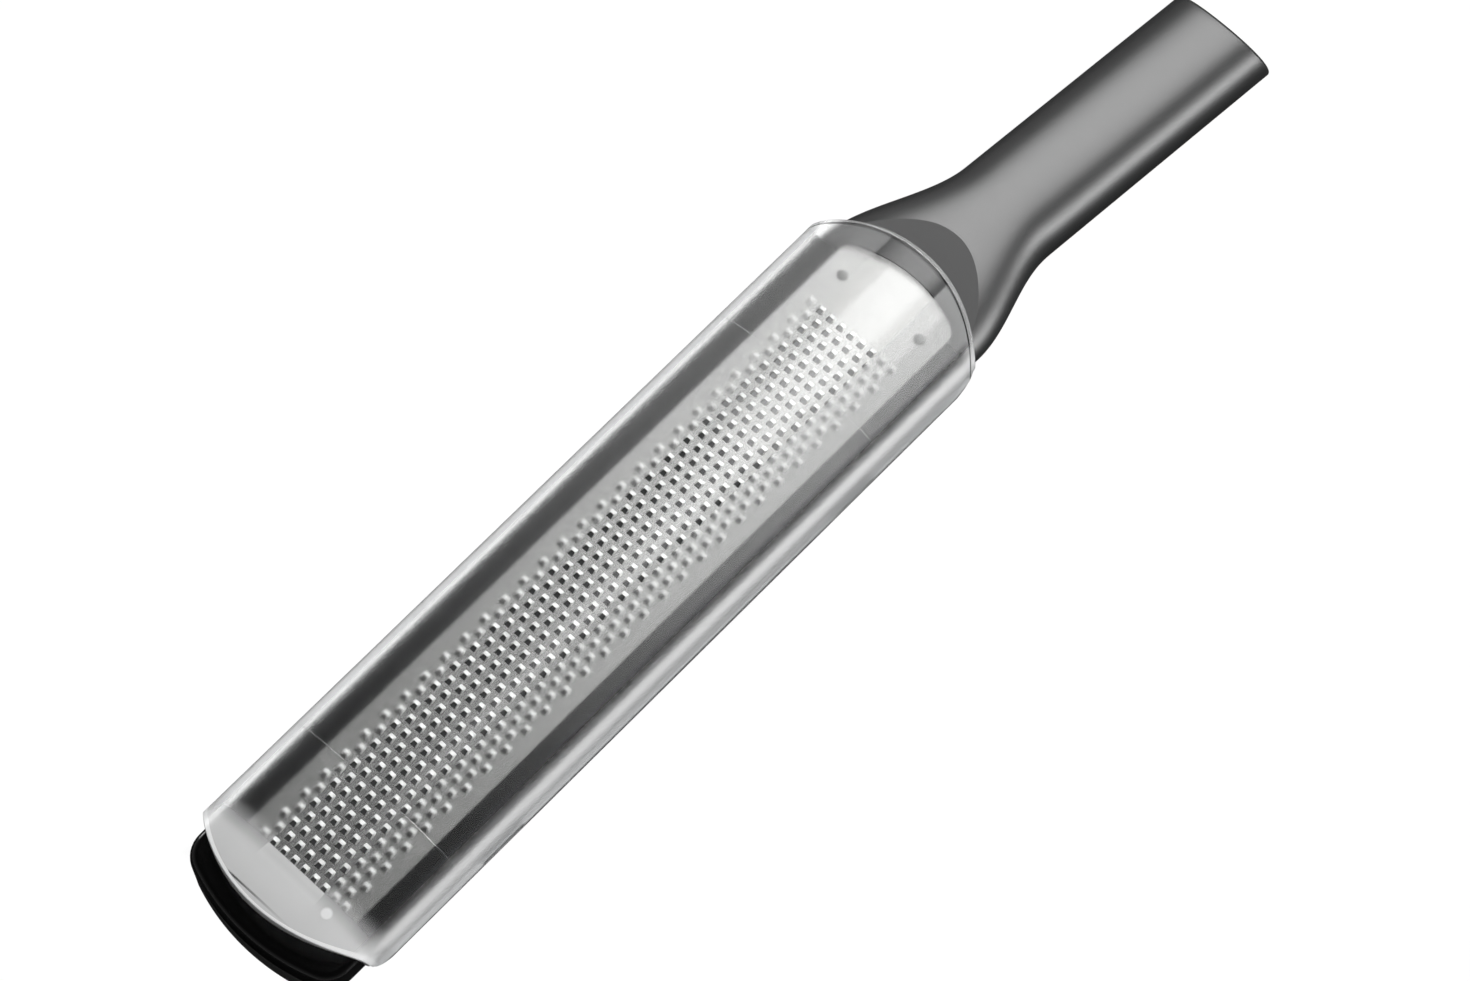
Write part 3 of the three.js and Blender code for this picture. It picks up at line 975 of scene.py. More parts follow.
@dataclass(frozen=True)
class Blade:
    """The toothed sheet with its four rivets.

    Attributes:
        length: Length of the sheet.
        width: Width of the sheet.
        thickness: Thickness of the sheet.
        end_radius: Radius of its rear end.
        corner: Radius of its corners.
        teeth: The teeth.
        rivet_insets: Inset of the rivets from the end and from the side, at the front and at the rear.
        rivet_radius: Radius of a rivet's head.
        rivet_height: Height of a rivet's dome.
        dome_power: Power of the dome, lower for a steeper rim.
        dome_rings: Rings of the dome.
        shank_radius: Radius of a rivet's shank.
        shank_depth: Depth of a rivet's shank.
    """

    length: float = 230.0
    width: float = 37.8
    thickness: float = 0.6
    end_radius: float = 38.5
    corner: float = 4.0
    teeth: Teeth = field(default_factory=Teeth)
    rivet_insets: tuple[Pair, Pair] = ((6.3, 6.9), (11.7, 5.65))
    rivet_radius: float = 1.65
    rivet_height: float = 0.3
    dome_power: float = 0.8
    dome_rings: int = 9
    shank_radius: float = 0.9
    shank_depth: float = 4.5

    def outline(self) -> Outline:
        """Plan of the sheet: a straight front, an arc behind, round corners.

        Returns:
            The outline.
        """
        front = OutlineEnd(0.0, self.corner)
        rear = OutlineEnd(self.length, self.corner, self.end_radius, steps=30)
        return Outline(self.width / 2, front, rear)

    def plan(self) -> Surface:
        """Flat plan of the sheet: a grid round the openings, and a margin from it to the outline.

        The margin joins each point of the grid's border to a point of the outline, even along the ends.

        Returns:
            The plan at height 0, its borders not yet joined.
        """
        x, y = self.teeth.lines()
        plan = Surface()
        corners = np.stack([*np.meshgrid(x, y, indexing="ij"), np.zeros((len(x), len(y)))], axis=-1)
        plan.grid(corners)
        quads = plan.faces[0]
        centres = corners.reshape(-1, 3)[quads].mean(axis=1)
        plan.faces[0] = quads[~self.teeth.is_open(centres[:, 0], centres[:, 1])]
        outline = self.outline()
        rear = resample(outline.rear.points(1, outline.half), len(y))
        front = resample(outline.front.points(-1, outline.half), len(y))
        borders = [
            (corners[-1], rear),
            (corners[::-1, -1], np.linspace(rear[-1], front[0], len(x))),
            (corners[0, ::-1], front),
            (corners[:, 0], np.linspace(front[-1], rear[0], len(x))),
        ]
        for inner, outer in borders:
            plan.grid(np.stack([np.column_stack([outer, np.zeros(len(outer))]), inner]))
        return plan

    def sheet(self) -> Surface:
        """Thickens the plan: a top, a bottom and a wall along every edge that has one face.

        Returns:
            The closed sheet with its openings.
        """
        plan = self.plan()
        points, faces = np.concatenate(plan.points), np.concatenate(plan.faces)
        keys, index = np.unique(np.round(points, 3), axis=0, return_inverse=True)
        faces = index.reshape(-1)[faces]
        edges = np.concatenate([faces[:, [k, (k + 1) % 4]] for k in range(4)])
        pairs = np.sort(edges, axis=1)
        _, first, times = np.unique(pairs, axis=0, return_index=True, return_counts=True)
        border = edges[first[times == 1]]
        count = len(keys)
        low = keys - np.array([0.0, 0.0, self.thickness])
        walls = np.column_stack([border[:, 1], border[:, 0], border[:, 0] + count, border[:, 1] + count])
        quads = np.concatenate([faces, faces[:, ::-1] + count, walls])
        return Surface().add(np.concatenate([keys, low]), quads)

    def hoods(self) -> Surface:
        """The hood of a tooth, repeated over every opening.

        Returns:
            All the hoods.
        """
        hood, quads = self.teeth.hood()
        middles = self.teeth.middles()
        shifted = hood[None] + np.column_stack([middles, np.zeros(len(middles))])[:, None]
        offsets = np.arange(len(middles))[:, None, None] * len(hood)
        return Surface().add(shifted.reshape(-1, 3), (quads[None] + offsets).reshape(-1, 4))

    def rivet(self, x: float, y: float, steps: int = 40) -> Surface:
        """A rivet: the profile of a shank and a flat dome, turned round its axis.

        The dome is r = R sin^p a and z = h cos a, with the dome's power p.

        Args:
            x: Place along the blade.
            y: Place across the blade.
            steps: Points round the axis.

        Returns:
            The rivet's surface.
        """
        angle = quarter_turn(self.dome_rings)
        dome = self.rivet_radius * np.sin(angle) ** self.dome_power
        radius = np.concatenate([dome, [self.shank_radius] * 2, [0.0]])
        height = np.concatenate([self.rivet_height * np.cos(angle), [0.0], [-self.shank_depth] * 2])
        turn = full_turn(steps)[:, None]
        points = np.broadcast_arrays(x + radius * np.cos(turn), y + radius * np.sin(turn), height)
        return Surface().grid(np.stack(points, axis=-1), close_rows=True)

    def build(self, placement: Placement, sheet_steel: Material, tooth_steel: Material,
              rivet_steel: Material) -> None:
        """Makes the sheet, the teeth and the four rivets.

        Args:
            placement: Where the blade's plane lies.
            sheet_steel: Finish of the sheet.
            tooth_steel: Finish of the teeth.
            rivet_steel: Finish of the rivets.
        """
        sheet = self.sheet().build("blade_sheet", placement, sharp_angle=28.0)
        dress(sheet, sheet_steel, Body.GRATER, Slot.BLADE, "blade")
        hoods = self.hoods().build("blade_teeth", placement, sharp_angle=28.0)
        dress(hoods, tooth_steel, Body.GRATER, Slot.BLADE)
        (front_x, front_y), (rear_x, rear_y) = self.rivet_insets
        rows = {"front": (front_x, front_y), "rear": (self.length - rear_x, rear_y)}
        for end, (x, inset) in rows.items():
            for side in Side:
                name = f"rivet_{end}_{side.name.lower()}"
                y = side.value * (self.width / 2 - inset)
                rivet = self.rivet(x, y).build(f"{name}_head", placement)
                dress(rivet, rivet_steel, Body.GRATER, Slot.RIVET, name)


@dataclass(frozen=True)
class Frame:
    """The moulded frame round the blade, with its toe and the sole under it.

    Attributes:
        width: Width over the rails.
        depth: Depth of the rails.
        overhang: Reach of the toe in front of the blade.
        toe_radius: Radius of the toe's front.
        toe_corner: Radius of the toe's corners.
        seam_x: Place of the rear end, at the seam with the handle.
        seam_corner: Radius of the corners there.
        seam_strip: Length of the strip there in which the blade's seat runs out.
        edge: Radius of the rounded upper edge along the rails.
        toe_edge: Radius of the upper edge round the toe.
        toe_ease: Length over which the one eases into the other.
        edge_rings: Rings of the upper edge.
        lower_edge: Bevel of the lower edge.
        window: Front end, rear end and half width of the open window.
        window_draft: How much further back and out the window reaches at its lower edge.
        window_corner: Radius of the window's corners.
        seat_edge: Bevel along the blade's seat.
        foot_depth: Depth of the toe's lower edge under the blade.
        sole_width: Width of the sole.
        sole_corner: Radius of the sole's corners.
        sole_rear_x: Place of the sole's rear edge.
        rib_pitch: Pitch of the sole's ribs.
        rib_depth: Depth of the sole's ribs.
        rib_points: Points along each rib.
        sole_levels: Rings down the sole: share of the ribs, share of the way, rise over it and bevel.
    """

    width: float = 52.6
    depth: float = 6.8
    overhang: float = 10.9
    toe_radius: float = 62.0
    toe_corner: float = 8.0
    seam_x: float = 222.0
    seam_corner: float = 0.3
    seam_strip: float = 0.2
    edge: float = 0.4
    toe_edge: float = 2.4
    toe_ease: float = 40.0
    edge_rings: int = 9
    lower_edge: float = 0.6
    window: Triple = (8.75, 208.25, 15.75)
    window_draft: float = 2.2
    window_corner: float = 3.0
    seat_edge: float = 0.15
    foot_depth: float = 14.0
    sole_width: float = 47.0
    sole_corner: float = 4.0
    sole_rear_x: float = 8.15
    rib_pitch: float = 1.1
    rib_depth: float = 0.22
    rib_points: int = 6
    sole_levels: tuple[tuple[float, float, float, float], ...] = (
        (0.0, 0.0, 0.0, 0.3),
        (0.0, 0.0, -0.3, 0.0),
        (1.0, 0.0, -0.8, 0.0),
        (1.0, 1.0, 1.0, 0.0),
        (0.0, 1.0, 0.5, 0.0),
        (0.0, 1.0, 0.0, 0.5),
    )

    def outer(self) -> Outline:
        """Plan of the frame: a round toe in front and a straight rear end."""
        front = OutlineEnd(-self.overhang, self.toe_corner, self.toe_radius)
        return Outline(self.width / 2, front, OutlineEnd(self.seam_x, self.seam_corner))

    def body(self, blade: Blade) -> Surface:
        """The frame as rings from the window's lower edge, over the top, to the outer lower edge.

        The upper edge is a quarter circle: drawn in by e (1 - sin a) at the height -e (1 - cos a).
        Its radius e eases from the toe's to the rails'. At the rear end the blade's seat runs out, so
        the rings lie no higher than the seat there.

        Args:
            blade: The blade that the frame holds.

        Returns:
            The frame's surface.
        """
        window_front, window_rear, window_half = self.window
        window, lower = (Outline(window_half + draft, OutlineEnd(window_front, self.window_corner),
                                 OutlineEnd(window_rear + draft, self.window_corner))
                         for draft in (0.0, self.window_draft))
        seat_half = blade.width / 2 + SEAT_GAP
        outer = self.outer()
        seat = Outline(seat_half, OutlineEnd(-SEAT_GAP, blade.corner + SEAT_GAP), outer.rear)
        floor = -(blade.thickness + SEAT_GAP)
        rings = [lower.ring(-self.depth), window.ring(floor), seat.ring(floor)]
        rings += [seat.ring(-self.seat_edge), seat.inset(-self.seat_edge, 0.0).ring(0.0)]
        for angle in quarter_turn(self.edge_rings):
            draw, drop = 1.0 - math.sin(angle), 1.0 - math.cos(angle)
            wide, fine = (outer.inset(edge * draw, 0.0).ring(-edge * drop)
                          for edge in (self.toe_edge, self.edge))
            rings.append(wide + (fine - wide) * smooth_step(wide[:, :1] / self.toe_ease))
        rings.append(outer.ring(self.lower_edge - self.depth))
        rings.append(outer.inset(self.lower_edge, 0.0).ring(-self.depth))
        points = np.stack(rings)
        runs_out = (points[..., 0] > self.seam_x - self.seam_strip) & (np.abs(points[..., 1]) < seat_half)
        points[..., 2] = np.where(runs_out, np.minimum(points[..., 2], floor), points[..., 2])
        return Surface().grid(points, close_rows=True, close_columns=True)

    def sole(self, placement: Placement) -> Surface:
        """The rubber sole: rings down to the table, with fine upright ribs round its side.

        A rib draws the ring in by depth (1 - cos(2 pi s / pitch)) / 2 at the length s along it.

        Args:
            placement: Where the blade's plane lies.

        Returns:
            The sole's surface.
        """
        front = OutlineEnd(-self.overhang, self.sole_corner, self.toe_radius)
        outline = Outline(self.sole_width / 2, front, OutlineEnd(self.sole_rear_x, self.sole_corner))
        closed = np.concatenate([outline.loop(), outline.loop()[:1]])
        length = np.linalg.norm(np.diff(closed, axis=0), axis=1).sum()
        ribs = round(length / self.rib_pitch)
        plan = resample(closed, ribs * self.rib_points + 1)[:-1]
        turn = 2 * math.pi * np.arange(len(plan)) / self.rib_points
        wave = (1.0 - np.cos(turn)) / 2 * self.rib_depth
        ahead = np.roll(plan, -1, axis=0) - np.roll(plan, 1, axis=0)
        inward = np.column_stack([-ahead[:, 1], ahead[:, 0]]) / np.linalg.norm(ahead, axis=1)[:, None]
        slope = math.tan(placement.tilt)
        top = -self.depth - SEAT_GAP
        rings = []
        for share, low, rise, bevel in self.sole_levels:
            spot = plan + inward * (share * wave + bevel)[:, None]
            table = -self.foot_depth - (spot[:, 0] + self.overhang) * slope
            rings.append(np.column_stack([spot, top + (table - top) * low + rise]))
        return Surface().grid(np.stack(rings), close_columns=True)

    def build(self, placement: Placement, blade: Blade, plastic: Material, rubber: Material) -> None:
        """Makes the frame and the sole.

        Args:
            placement: Where the blade's plane lies.
            blade: The blade that the frame holds.
            plastic: Finish of the frame.
            rubber: Finish of the sole.
        """
        body = self.body(blade).build("frame_moulding", placement, sharp_angle=25.0)
        dress(body, plastic, Body.GRATER, Slot.PLASTIC, "frame")
        sole = self.sole(placement).build("ribbed_sole", placement, sharp_angle=50.0)
        dress(sole, rubber, Body.GRATER, Slot.SOLE, "foot_sole")


@dataclass(frozen=True)
class Handle:
    """The drooping handle: a flange with a flat deck, an oval grip and a plug in its slanted end.

    Attributes:
        droop: Angle of its axis under the blade's plane, in radians.
        axis_depth: Depth of the axis under the deck at the seam.
        length: Length of the axis from the seam to the middle of the end.
        end_slope: Slope of the end, in radians.
        wall: Thickness of the grip's wall.
        flange_start: Where the flange starts to narrow, from the seam.
        flange_length: Length over which it narrows.
        flange_half: Half its width at the seam.
        flange_drop: Its lower edge under the axis at the seam.
        grip_half: Half the grip's width.
        grip_rise: Half the grip's thickness.
        power: Power of its rounded section.
        lean_end: Distance from the end where the rings have come to its slope.
        end_edge: Radius of the edge round its end.
        mouth_edge: Bevel of the edge of its hollow's mouth.
        mouth_strip: Width of the strip inside that edge.
        mouth_depth: How far the mouth reaches past the plug.
        plug_depth: Depth of the plug.
        plug_edge: Radius of the plug's edge.
        deck_rings: Rings of the skin beside the deck.
        grip_rings: Rings of the skin behind it.
        end_rings: Rings of the edge round the end.
        plug_rings: Rings of the plug's edge.
        deck_rows: Rows of points from the deck's edge to the blade's seat.
    """

    droop: float = math.radians(14.7)
    axis_depth: float = 4.8
    length: float = 137.0
    end_slope: float = math.radians(29.0)
    wall: float = 3.0
    flange_start: float = 3.0
    flange_length: float = 43.0
    flange_half: float = 26.3
    flange_drop: float = 1.93
    grip_half: float = 16.2
    grip_rise: float = 10.9
    power: float = 2.15
    lean_end: float = 20.0
    end_edge: float = 1.1
    mouth_edge: float = 0.4
    mouth_strip: float = 0.1
    mouth_depth: float = 1.0
    plug_depth: float = 6.0
    plug_edge: float = 0.5
    deck_rings: int = 30
    grip_rings: int = 60
    end_rings: int = 7
    plug_rings: int = 5
    deck_rows: int = 5

    def start_x(self, seam_x: float) -> float:
        """Where the axis leaves the plane of the deck."""
        return seam_x - self.axis_depth / math.tan(self.droop)

    def seam(self) -> float:
        """Length along the axis from there to the seam."""
        return self.axis_depth / math.sin(self.droop)

    def to_blade(self, along: np.ndarray, y: np.ndarray, height: np.ndarray, seam_x: float) -> np.ndarray:
        """Turns places round the drooping axis into the blade's plane: x = x0 + l cos d + h sin d.

        Args:
            along: Lengths along the axis.
            y: Places across.
            height: Heights over the axis.
            seam_x: Place of the seam.

        Returns:
            The points, x and z from l and h turned by the droop.
        """
        c, s = math.cos(self.droop), math.sin(self.droop)
        x = self.start_x(seam_x) + along * c + height * s
        return np.stack(np.broadcast_arrays(x, y, height * c - along * s), axis=-1)

    def section(self, place: np.ndarray, shear: np.ndarray, angle: np.ndarray, inward: np.ndarray,
                rounds: int = 4) -> tuple[np.ndarray, np.ndarray, np.ndarray]:
        """Points of rings across the axis: y = a cos^p t and h = b sin^p t, with p = 2 / power.

        Half width a and drop b ease from the flange's to the grip's. A ring leans by its shear, so that
        a point at the height h lies at the length l = place + shear h.

        Args:
            place: Places of the rings on the axis.
            shear: Lean of the rings.
            angle: Angles round the section.
            inward: How far the rings are drawn in.
            rounds: Rounds that settle the lengths and heights of leaning rings.

        Returns:
            Lengths, places across and heights.
        """
        power = 2.0 / self.power
        across, up = signed_power(np.cos(angle), power), signed_power(np.sin(angle), power)
        along = np.broadcast_to(place, angle.shape)
        for _ in range(rounds):
            share = smooth_step((along - self.seam() - self.flange_start) / self.flange_length)
            drop = self.flange_drop + (self.grip_rise - self.flange_drop) * share
            height = (np.where(up > 0.0, self.grip_rise, drop) - inward) * up
            along = place + shear * height
        half = self.flange_half + (self.grip_half - self.flange_half) * share
        return along, (half - inward) * across, height

    def grip(self, seam_x: float, around: int = 128) -> tuple[Surface, np.ndarray]:
        """The outer skin, its rounded end and the mouth of its hollow, open where the deck is.

        In front the rings are upright, and each starts and ends where it meets the deck, at the angle t
        with b sin^p t = l sin d cos d. Behind they close, and lean back to the slope of the end.

        Args:
            seam_x: Place of the seam.
            around: Points round a ring.

        Returns:
            The skin, and the deck's edge from right to left.
        """
        start = self.seam() + SEAT_GAP / math.cos(self.droop)
        tilt = math.sin(self.droop) * math.cos(self.droop)
        lowest = math.asin((start * tilt / self.grip_rise) ** (self.power / 2))
        deck_angle = np.linspace(lowest, math.pi / 2, self.deck_rings)
        deck_place = self.grip_rise * np.sin(deck_angle) ** (2 / self.power) / tilt
        end = self.seam() + self.length
        grip_place = np.linspace(deck_place[-1], end - self.end_edge, self.grip_rings)[1:]
        turn = quarter_turn(self.end_rings)[1:]
        plain = np.concatenate([deck_place, grip_place])
        mouth = [end, end, end - self.mouth_edge, end - self.plug_depth - self.mouth_depth]
        place = np.concatenate([plain, end - self.end_edge * (1.0 - np.sin(turn)), mouth])
        mouth_inward = [self.wall - self.mouth_edge, self.wall - self.mouth_strip, self.wall, self.wall]
        edge_inward = self.end_edge * (1.0 - np.cos(turn))
        inward = np.concatenate([np.zeros(len(plain)), edge_inward, mouth_inward])
        top = np.concatenate([deck_angle, np.full(len(place) - len(deck_angle), math.pi / 2)])
        lean = smooth_step((place - deck_place[-1]) / (end - self.lean_end - deck_place[-1]))
        shear = -math.tan(self.droop) - (math.tan(self.end_slope) - math.tan(self.droop)) * lean
        share = np.linspace(0.0, 1.0, around + 1)[None, :]
        angle = top[:, None] - share * (math.pi + 2.0 * top[:, None])
        rings = self.section(place[:, None], shear[:, None], angle, inward[:, None])
        skin = self.to_blade(*rings, seam_x)
        skin[:len(deck_place), [0, -1], 2] = 0.0
        right, left = skin[:len(deck_place), -1], skin[:len(deck_place), 0]
        return Surface().grid(skin), np.concatenate([right, left[-2::-1]])

    def body(self, seam_x: float, blade: Blade) -> Surface:
        """The handle: the grip's skin, the flat deck and the blade's seat let into it.

        The deck is ruled between the seat's edge and the deck's own edge, at even steps along both.

        Args:
            seam_x: Place of the seam.
            blade: The blade whose end lies in the seat.

        Returns:
            The handle's surface.
        """
        surface, edge = self.grip(seam_x)
        seat = blade.outline().inset(-SEAT_GAP)
        curve = seat.rear.points(1, seat.half)
        front_x = seam_x + SEAT_GAP
        inside = curve[curve[:, 0] > front_x]
        side = np.array([front_x, seat.half])
        curve = np.concatenate([[side * [1, -1]], inside, [side]])
        curve = np.column_stack([resample(curve, len(edge)), np.zeros(len(edge))])
        share = np.linspace(0.0, 1.0, self.deck_rows)[:, None, None]
        surface.grid(edge[None] + (curve - edge)[None] * share)
        floor = curve - np.array([0.0, 0.0, blade.thickness + SEAT_GAP])
        front = floor.copy()
        front[:, 0] = front_x
        return surface.grid(np.stack([curve, floor, front]))

    def plug(self, seam_x: float, around: int = 96) -> Surface:
        """The plug: rings of the grip's section inside its wall, with a rounded outer edge.

        Args:
            seam_x: Place of the seam.
            around: Points round a ring.

        Returns:
            The plug's surface.
        """
        end = self.seam() + self.length
        turn = quarter_turn(self.plug_rings)
        place = np.concatenate([[end - self.plug_depth], end - self.plug_edge * (1.0 - np.sin(turn))])
        inward = self.wall + SEAT_GAP + np.concatenate([[0.0], self.plug_edge * (1.0 - np.cos(turn))])
        angle = np.broadcast_to(full_turn(around), (len(place), around))
        shear = np.full((len(place), 1), -math.tan(self.end_slope))
        rings = self.to_blade(*self.section(place[:, None], shear, angle, inward[:, None]), seam_x)
        return Surface().grid(rings, close_columns=True)

    def build(self, placement: Placement, seam_x: float, blade: Blade, plastic: Material) -> None:
        """Makes the handle and its plug.

        Args:
            placement: Where the blade's plane lies.
            seam_x: Place of the seam with the frame.
            blade: The blade whose end lies on the handle.
            plastic: Finish of both.
        """
        body = self.body(seam_x, blade).build("handle_grip", placement, sharp_angle=9.0)
        dress(body, plastic, Body.GRATER, Slot.PLASTIC, "handle")
        plug = self.plug(seam_x).build("handle_plug", placement)
        dress(plug, plastic, Body.GRATER, Slot.PLASTIC, "handle_end_plug")


@dataclass(frozen=True)
class Cover:
    """The clear channel that slides over the blade and hooks under the rails.

    Attributes:
        front_x: Middle of its front end.
        rear_x: Middle of its rear end.
        half: Half its width.
        rise: Height of its crown over the blade.
        wall: Thickness of its wall.
        bottom: Height of its lower edges.
        wall_levels: Heights of two rows of points on the upright walls.
        spring: Height where the arch starts.
        power: Power of the arch.
        end_radii: Radius of its front and rear end in plan.
        slants: How far the outer edge of its front and rear rim lies behind the inner one.
        rim_edge: Rounding of the rims' edges.
        rim_strip: Length of the short strips beside the rims, which end the rims' rounding.
        rim_rows: Rows of points across a rim.
        corner: Radius of its lower corners.
        edge: Bevel of its lower edges.
        end_span: Length that the rims and what is next to them take at each end.
        even_sections: Number of even sections between those.
        lug_places: Places of the lugs.
        lug_length: Length of a lug.
        lug_reach: Reach of a lug under the rail.
        lug_thickness: Thickness of a lug.
        lug_strip: Half the width of the strips in which the wall steps out to a lug.
        line_places: Places of the fine lines across its sides.
        line_span: Places in y where a line starts and ends.
        line_width: Width of a line.
        line_height: Height of a line.
        line_tip: Angle in radians that the taper of a line leaves out at its tips.
        fine_steps: Points of the half arch from which a line's span is cut.
    """

    front_x: float = -6.1
    rear_x: float = 234.6
    half: float = 29.0
    rise: float = 10.0
    wall: float = 1.6
    bottom: float = -8.6
    wall_levels: Pair = (-5.0, -3.2)
    spring: float = -1.5
    power: float = 2.5
    end_radii: Pair = (44.5, 42.3)
    slants: Pair = (0.5, 1.4)
    rim_edge: float = 0.3
    rim_strip: float = 0.25
    rim_rows: int = 13
    corner: float = 8.0
    edge: float = 0.3
    end_span: float = 24.0
    even_sections: int = 25
    lug_places: Pair = (50.8, 177.3)
    lug_length: float = 14.0
    lug_reach: float = 2.4
    lug_thickness: float = 1.5
    lug_strip: float = 0.05
    line_places: Pair = (36.1, 187.5)
    line_span: Pair = (10.0, 27.8)
    line_width: float = 0.35
    line_height: float = 0.1
    line_tip: float = 0.05
    fine_steps: int = 400

    def arch(self, inward: float, angle: np.ndarray) -> np.ndarray:
        """The arch of the section: y = w cos^p a and z = s + h sin^p a, with p = 2 / power.

        Args:
            inward: How far it lies inside the outer one.
            angle: Angles from the left spring, 0, to the right one, pi.

        Returns:
            Array of angles by y and z.
        """
        power = 2.0 / self.power
        y = (self.half - inward) * signed_power(np.cos(angle), power)
        z = self.spring + (self.rise - inward - self.spring) * np.abs(np.sin(angle)) ** power
        return np.stack([y, z], axis=1)

    def section(self, inward: float, steps: int = 64) -> np.ndarray:
        """The section from the left lower edge over the crown to the right one.

        Args:
            inward: How far it lies inside the outer one.
            steps: Steps of the arch.

        Returns:
            Array of points by y and z.
        """
        lug_top = self.bottom + self.lug_thickness
        lug_levels = [lug_top, lug_top + self.lug_strip]
        levels = np.array([self.bottom, self.bottom + self.edge, *lug_levels, *self.wall_levels])
        wall = np.column_stack([np.full(len(levels), self.half - inward), levels])
        arch = self.arch(inward, np.linspace(0.0, math.pi, steps + 1))
        return np.concatenate([wall, arch, wall[::-1] * [-1, 1]])

    def ends(self, y: np.ndarray, z: np.ndarray) -> tuple[np.ndarray, np.ndarray]:
        """Where the front and rear ends lie: an arc in plan, and round lower corners from the side.

        The arc draws the end in by R - sqrt(R^2 - y^2), and a corner by r - sqrt(r^2 - d^2) at the
        depth d under its start.

        Args:
            y: Places across.
            z: Heights.

        Returns:
            The ends' places in x.
        """
        under = np.clip(self.bottom + self.corner - z, 0.0, self.corner)
        round_low = self.corner - np.sqrt(self.corner ** 2 - under ** 2)
        drawn_in = []
        for radius in self.end_radii:
            side = radius - math.sqrt(radius ** 2 - self.half ** 2)
            corner = np.where(under > 0.0, side + round_low, 0.0)
            drawn_in.append(np.maximum(radius - np.sqrt(radius ** 2 - y ** 2), corner))
        return self.front_x + drawn_in[0], self.rear_x - drawn_in[1]

    def stations(self) -> np.ndarray:
        """Places of the sections between the ends, with a pair at each side of a lug.

        Returns:
            The places in x, from front to rear.
        """
        even = np.linspace(self.front_x + self.end_span, self.rear_x - self.end_span, self.even_sections)
        lugs = np.add.outer(self.lug_places, [-self.lug_length / 2, self.lug_length / 2]).ravel()
        return np.sort(np.concatenate([even, lugs - self.lug_strip, lugs + self.lug_strip]))

    def shell(self) -> Surface:
        """The shell: closed loops along x, outside, round the rear rim, inside and round the front rim.

        A rim runs across the wall from c = 1 outside to c = -1 inside. It is drawn in by
        s (1 + c) / 2 + e (1 - sqrt(1 - c^2)), with its slant s and its edge e. The inner wall stands
        in by the lugs' reach where they are.

        Returns:
            The shell's surface.
        """
        outer, inner = self.section(0.0), self.section(self.wall)
        middle, across = (outer + inner) / 2, (outer - inner) / 2
        front, rear = self.ends(middle[:, 0], middle[:, 1])
        bevel = np.where(outer[:, 1] <= self.bottom, self.edge, 0.0)
        x = np.broadcast_to(self.stations(), (len(outer), len(self.stations())))
        shrink = (1.0 - bevel / (self.wall / 2))[:, None, None]
        cross = np.cos(np.linspace(0.0, math.pi, self.rim_rows))

        def depth(c: np.ndarray, slant: float) -> np.ndarray:
            """How far a rim is drawn in at a place across the wall."""
            rounding = 1.0 - np.sqrt(np.clip(1.0 - c * c, 0.0, 1.0))
            return slant * (1.0 + c) / 2 + self.rim_edge * rounding

        def sheet(side: float) -> np.ndarray:
            """Points of one side of the wall, along the run between its rims.

            Args:
                side: 1 for the outer side, -1 for the inner one.

            Returns:
                Array of the section's points by places along x by 3.
            """
            first, last = (depth(np.array(side), slant) + bevel for slant in self.slants)
            start, stop = front + first, rear - last
            run = np.column_stack([start, start + self.rim_strip, x, stop - self.rim_strip, stop])
            spot = middle[:, None] + side * across[:, None] * shrink
            return np.concatenate([run[..., None], np.broadcast_to(spot, (*run.shape, 2))], axis=-1)

        def rim(end: np.ndarray, way: int, slant: float) -> np.ndarray:
            """Points across an end of the wall, from its outer side to its inner one.

            Args:
                end: The end's places in x.
                way: 1 for the rear end, -1 for the front one.
                slant: Slant of the rim.

            Returns:
                Array of the section's points by places across the wall by 3.
            """
            spot = middle[:, None] + across[:, None] * cross[None, 1:-1, None] * shrink
            reach = end[:, None] - way * (depth(cross[1:-1], slant)[None] + bevel[:, None])
            return np.concatenate([reach[..., None], spot], axis=-1)

        inside = sheet(-1.0)
        near = np.abs(inside[..., 0:1] - np.array(self.lug_places)).min(axis=-1) < self.lug_length / 2
        low = inside[..., 2] <= self.bottom + self.lug_thickness
        inside[..., 1] -= np.where(near & low, np.sign(inside[..., 1]) * self.lug_reach, 0.0)
        rims = rim(front, -1, self.slants[0]), rim(rear, 1, self.slants[1])
        loops = [sheet(1.0), rims[1], inside[:, ::-1], rims[0][:, ::-1]]
        return Surface().grid(np.concatenate(loops, axis=1), close_columns=True)

    def line(self, x: float, side: Side, steps: int = 30, around: int = 8) -> Surface:
        """A fine raised line across one side: a half oval section carried along the arch.

        Args:
            x: Place of the line.
            side: Side of the cover.
            steps: Points along the line.
            around: Points round its section.

        Returns:
            The line's surface.
        """
        fine = self.arch(0.0, quarter_turn(self.fine_steps))
        kept = fine[(fine[:, 0] > self.line_span[0]) & (fine[:, 0] < self.line_span[1])]
        path = resample(kept, steps)
        ahead = np.gradient(path, axis=0)
        out = np.column_stack([-ahead[:, 1], ahead[:, 0]])
        out = out / np.linalg.norm(out, axis=1)[:, None]
        out = out * np.sign(out[:, 1:])
        taper = np.sqrt(np.sin(np.linspace(self.line_tip, math.pi - self.line_tip, steps)))[:, None]
        turn = full_turn(around)
        lift = (self.line_height * np.sin(turn))[None] * taper
        spot = path[:, None] + out[:, None] * lift[..., None]
        reach = x + self.line_width / 2 * np.cos(turn)[None] * taper
        points = np.stack([reach, side.value * spot[..., 0], spot[..., 1]], axis=-1)
        return Surface().grid(points, close_columns=True)

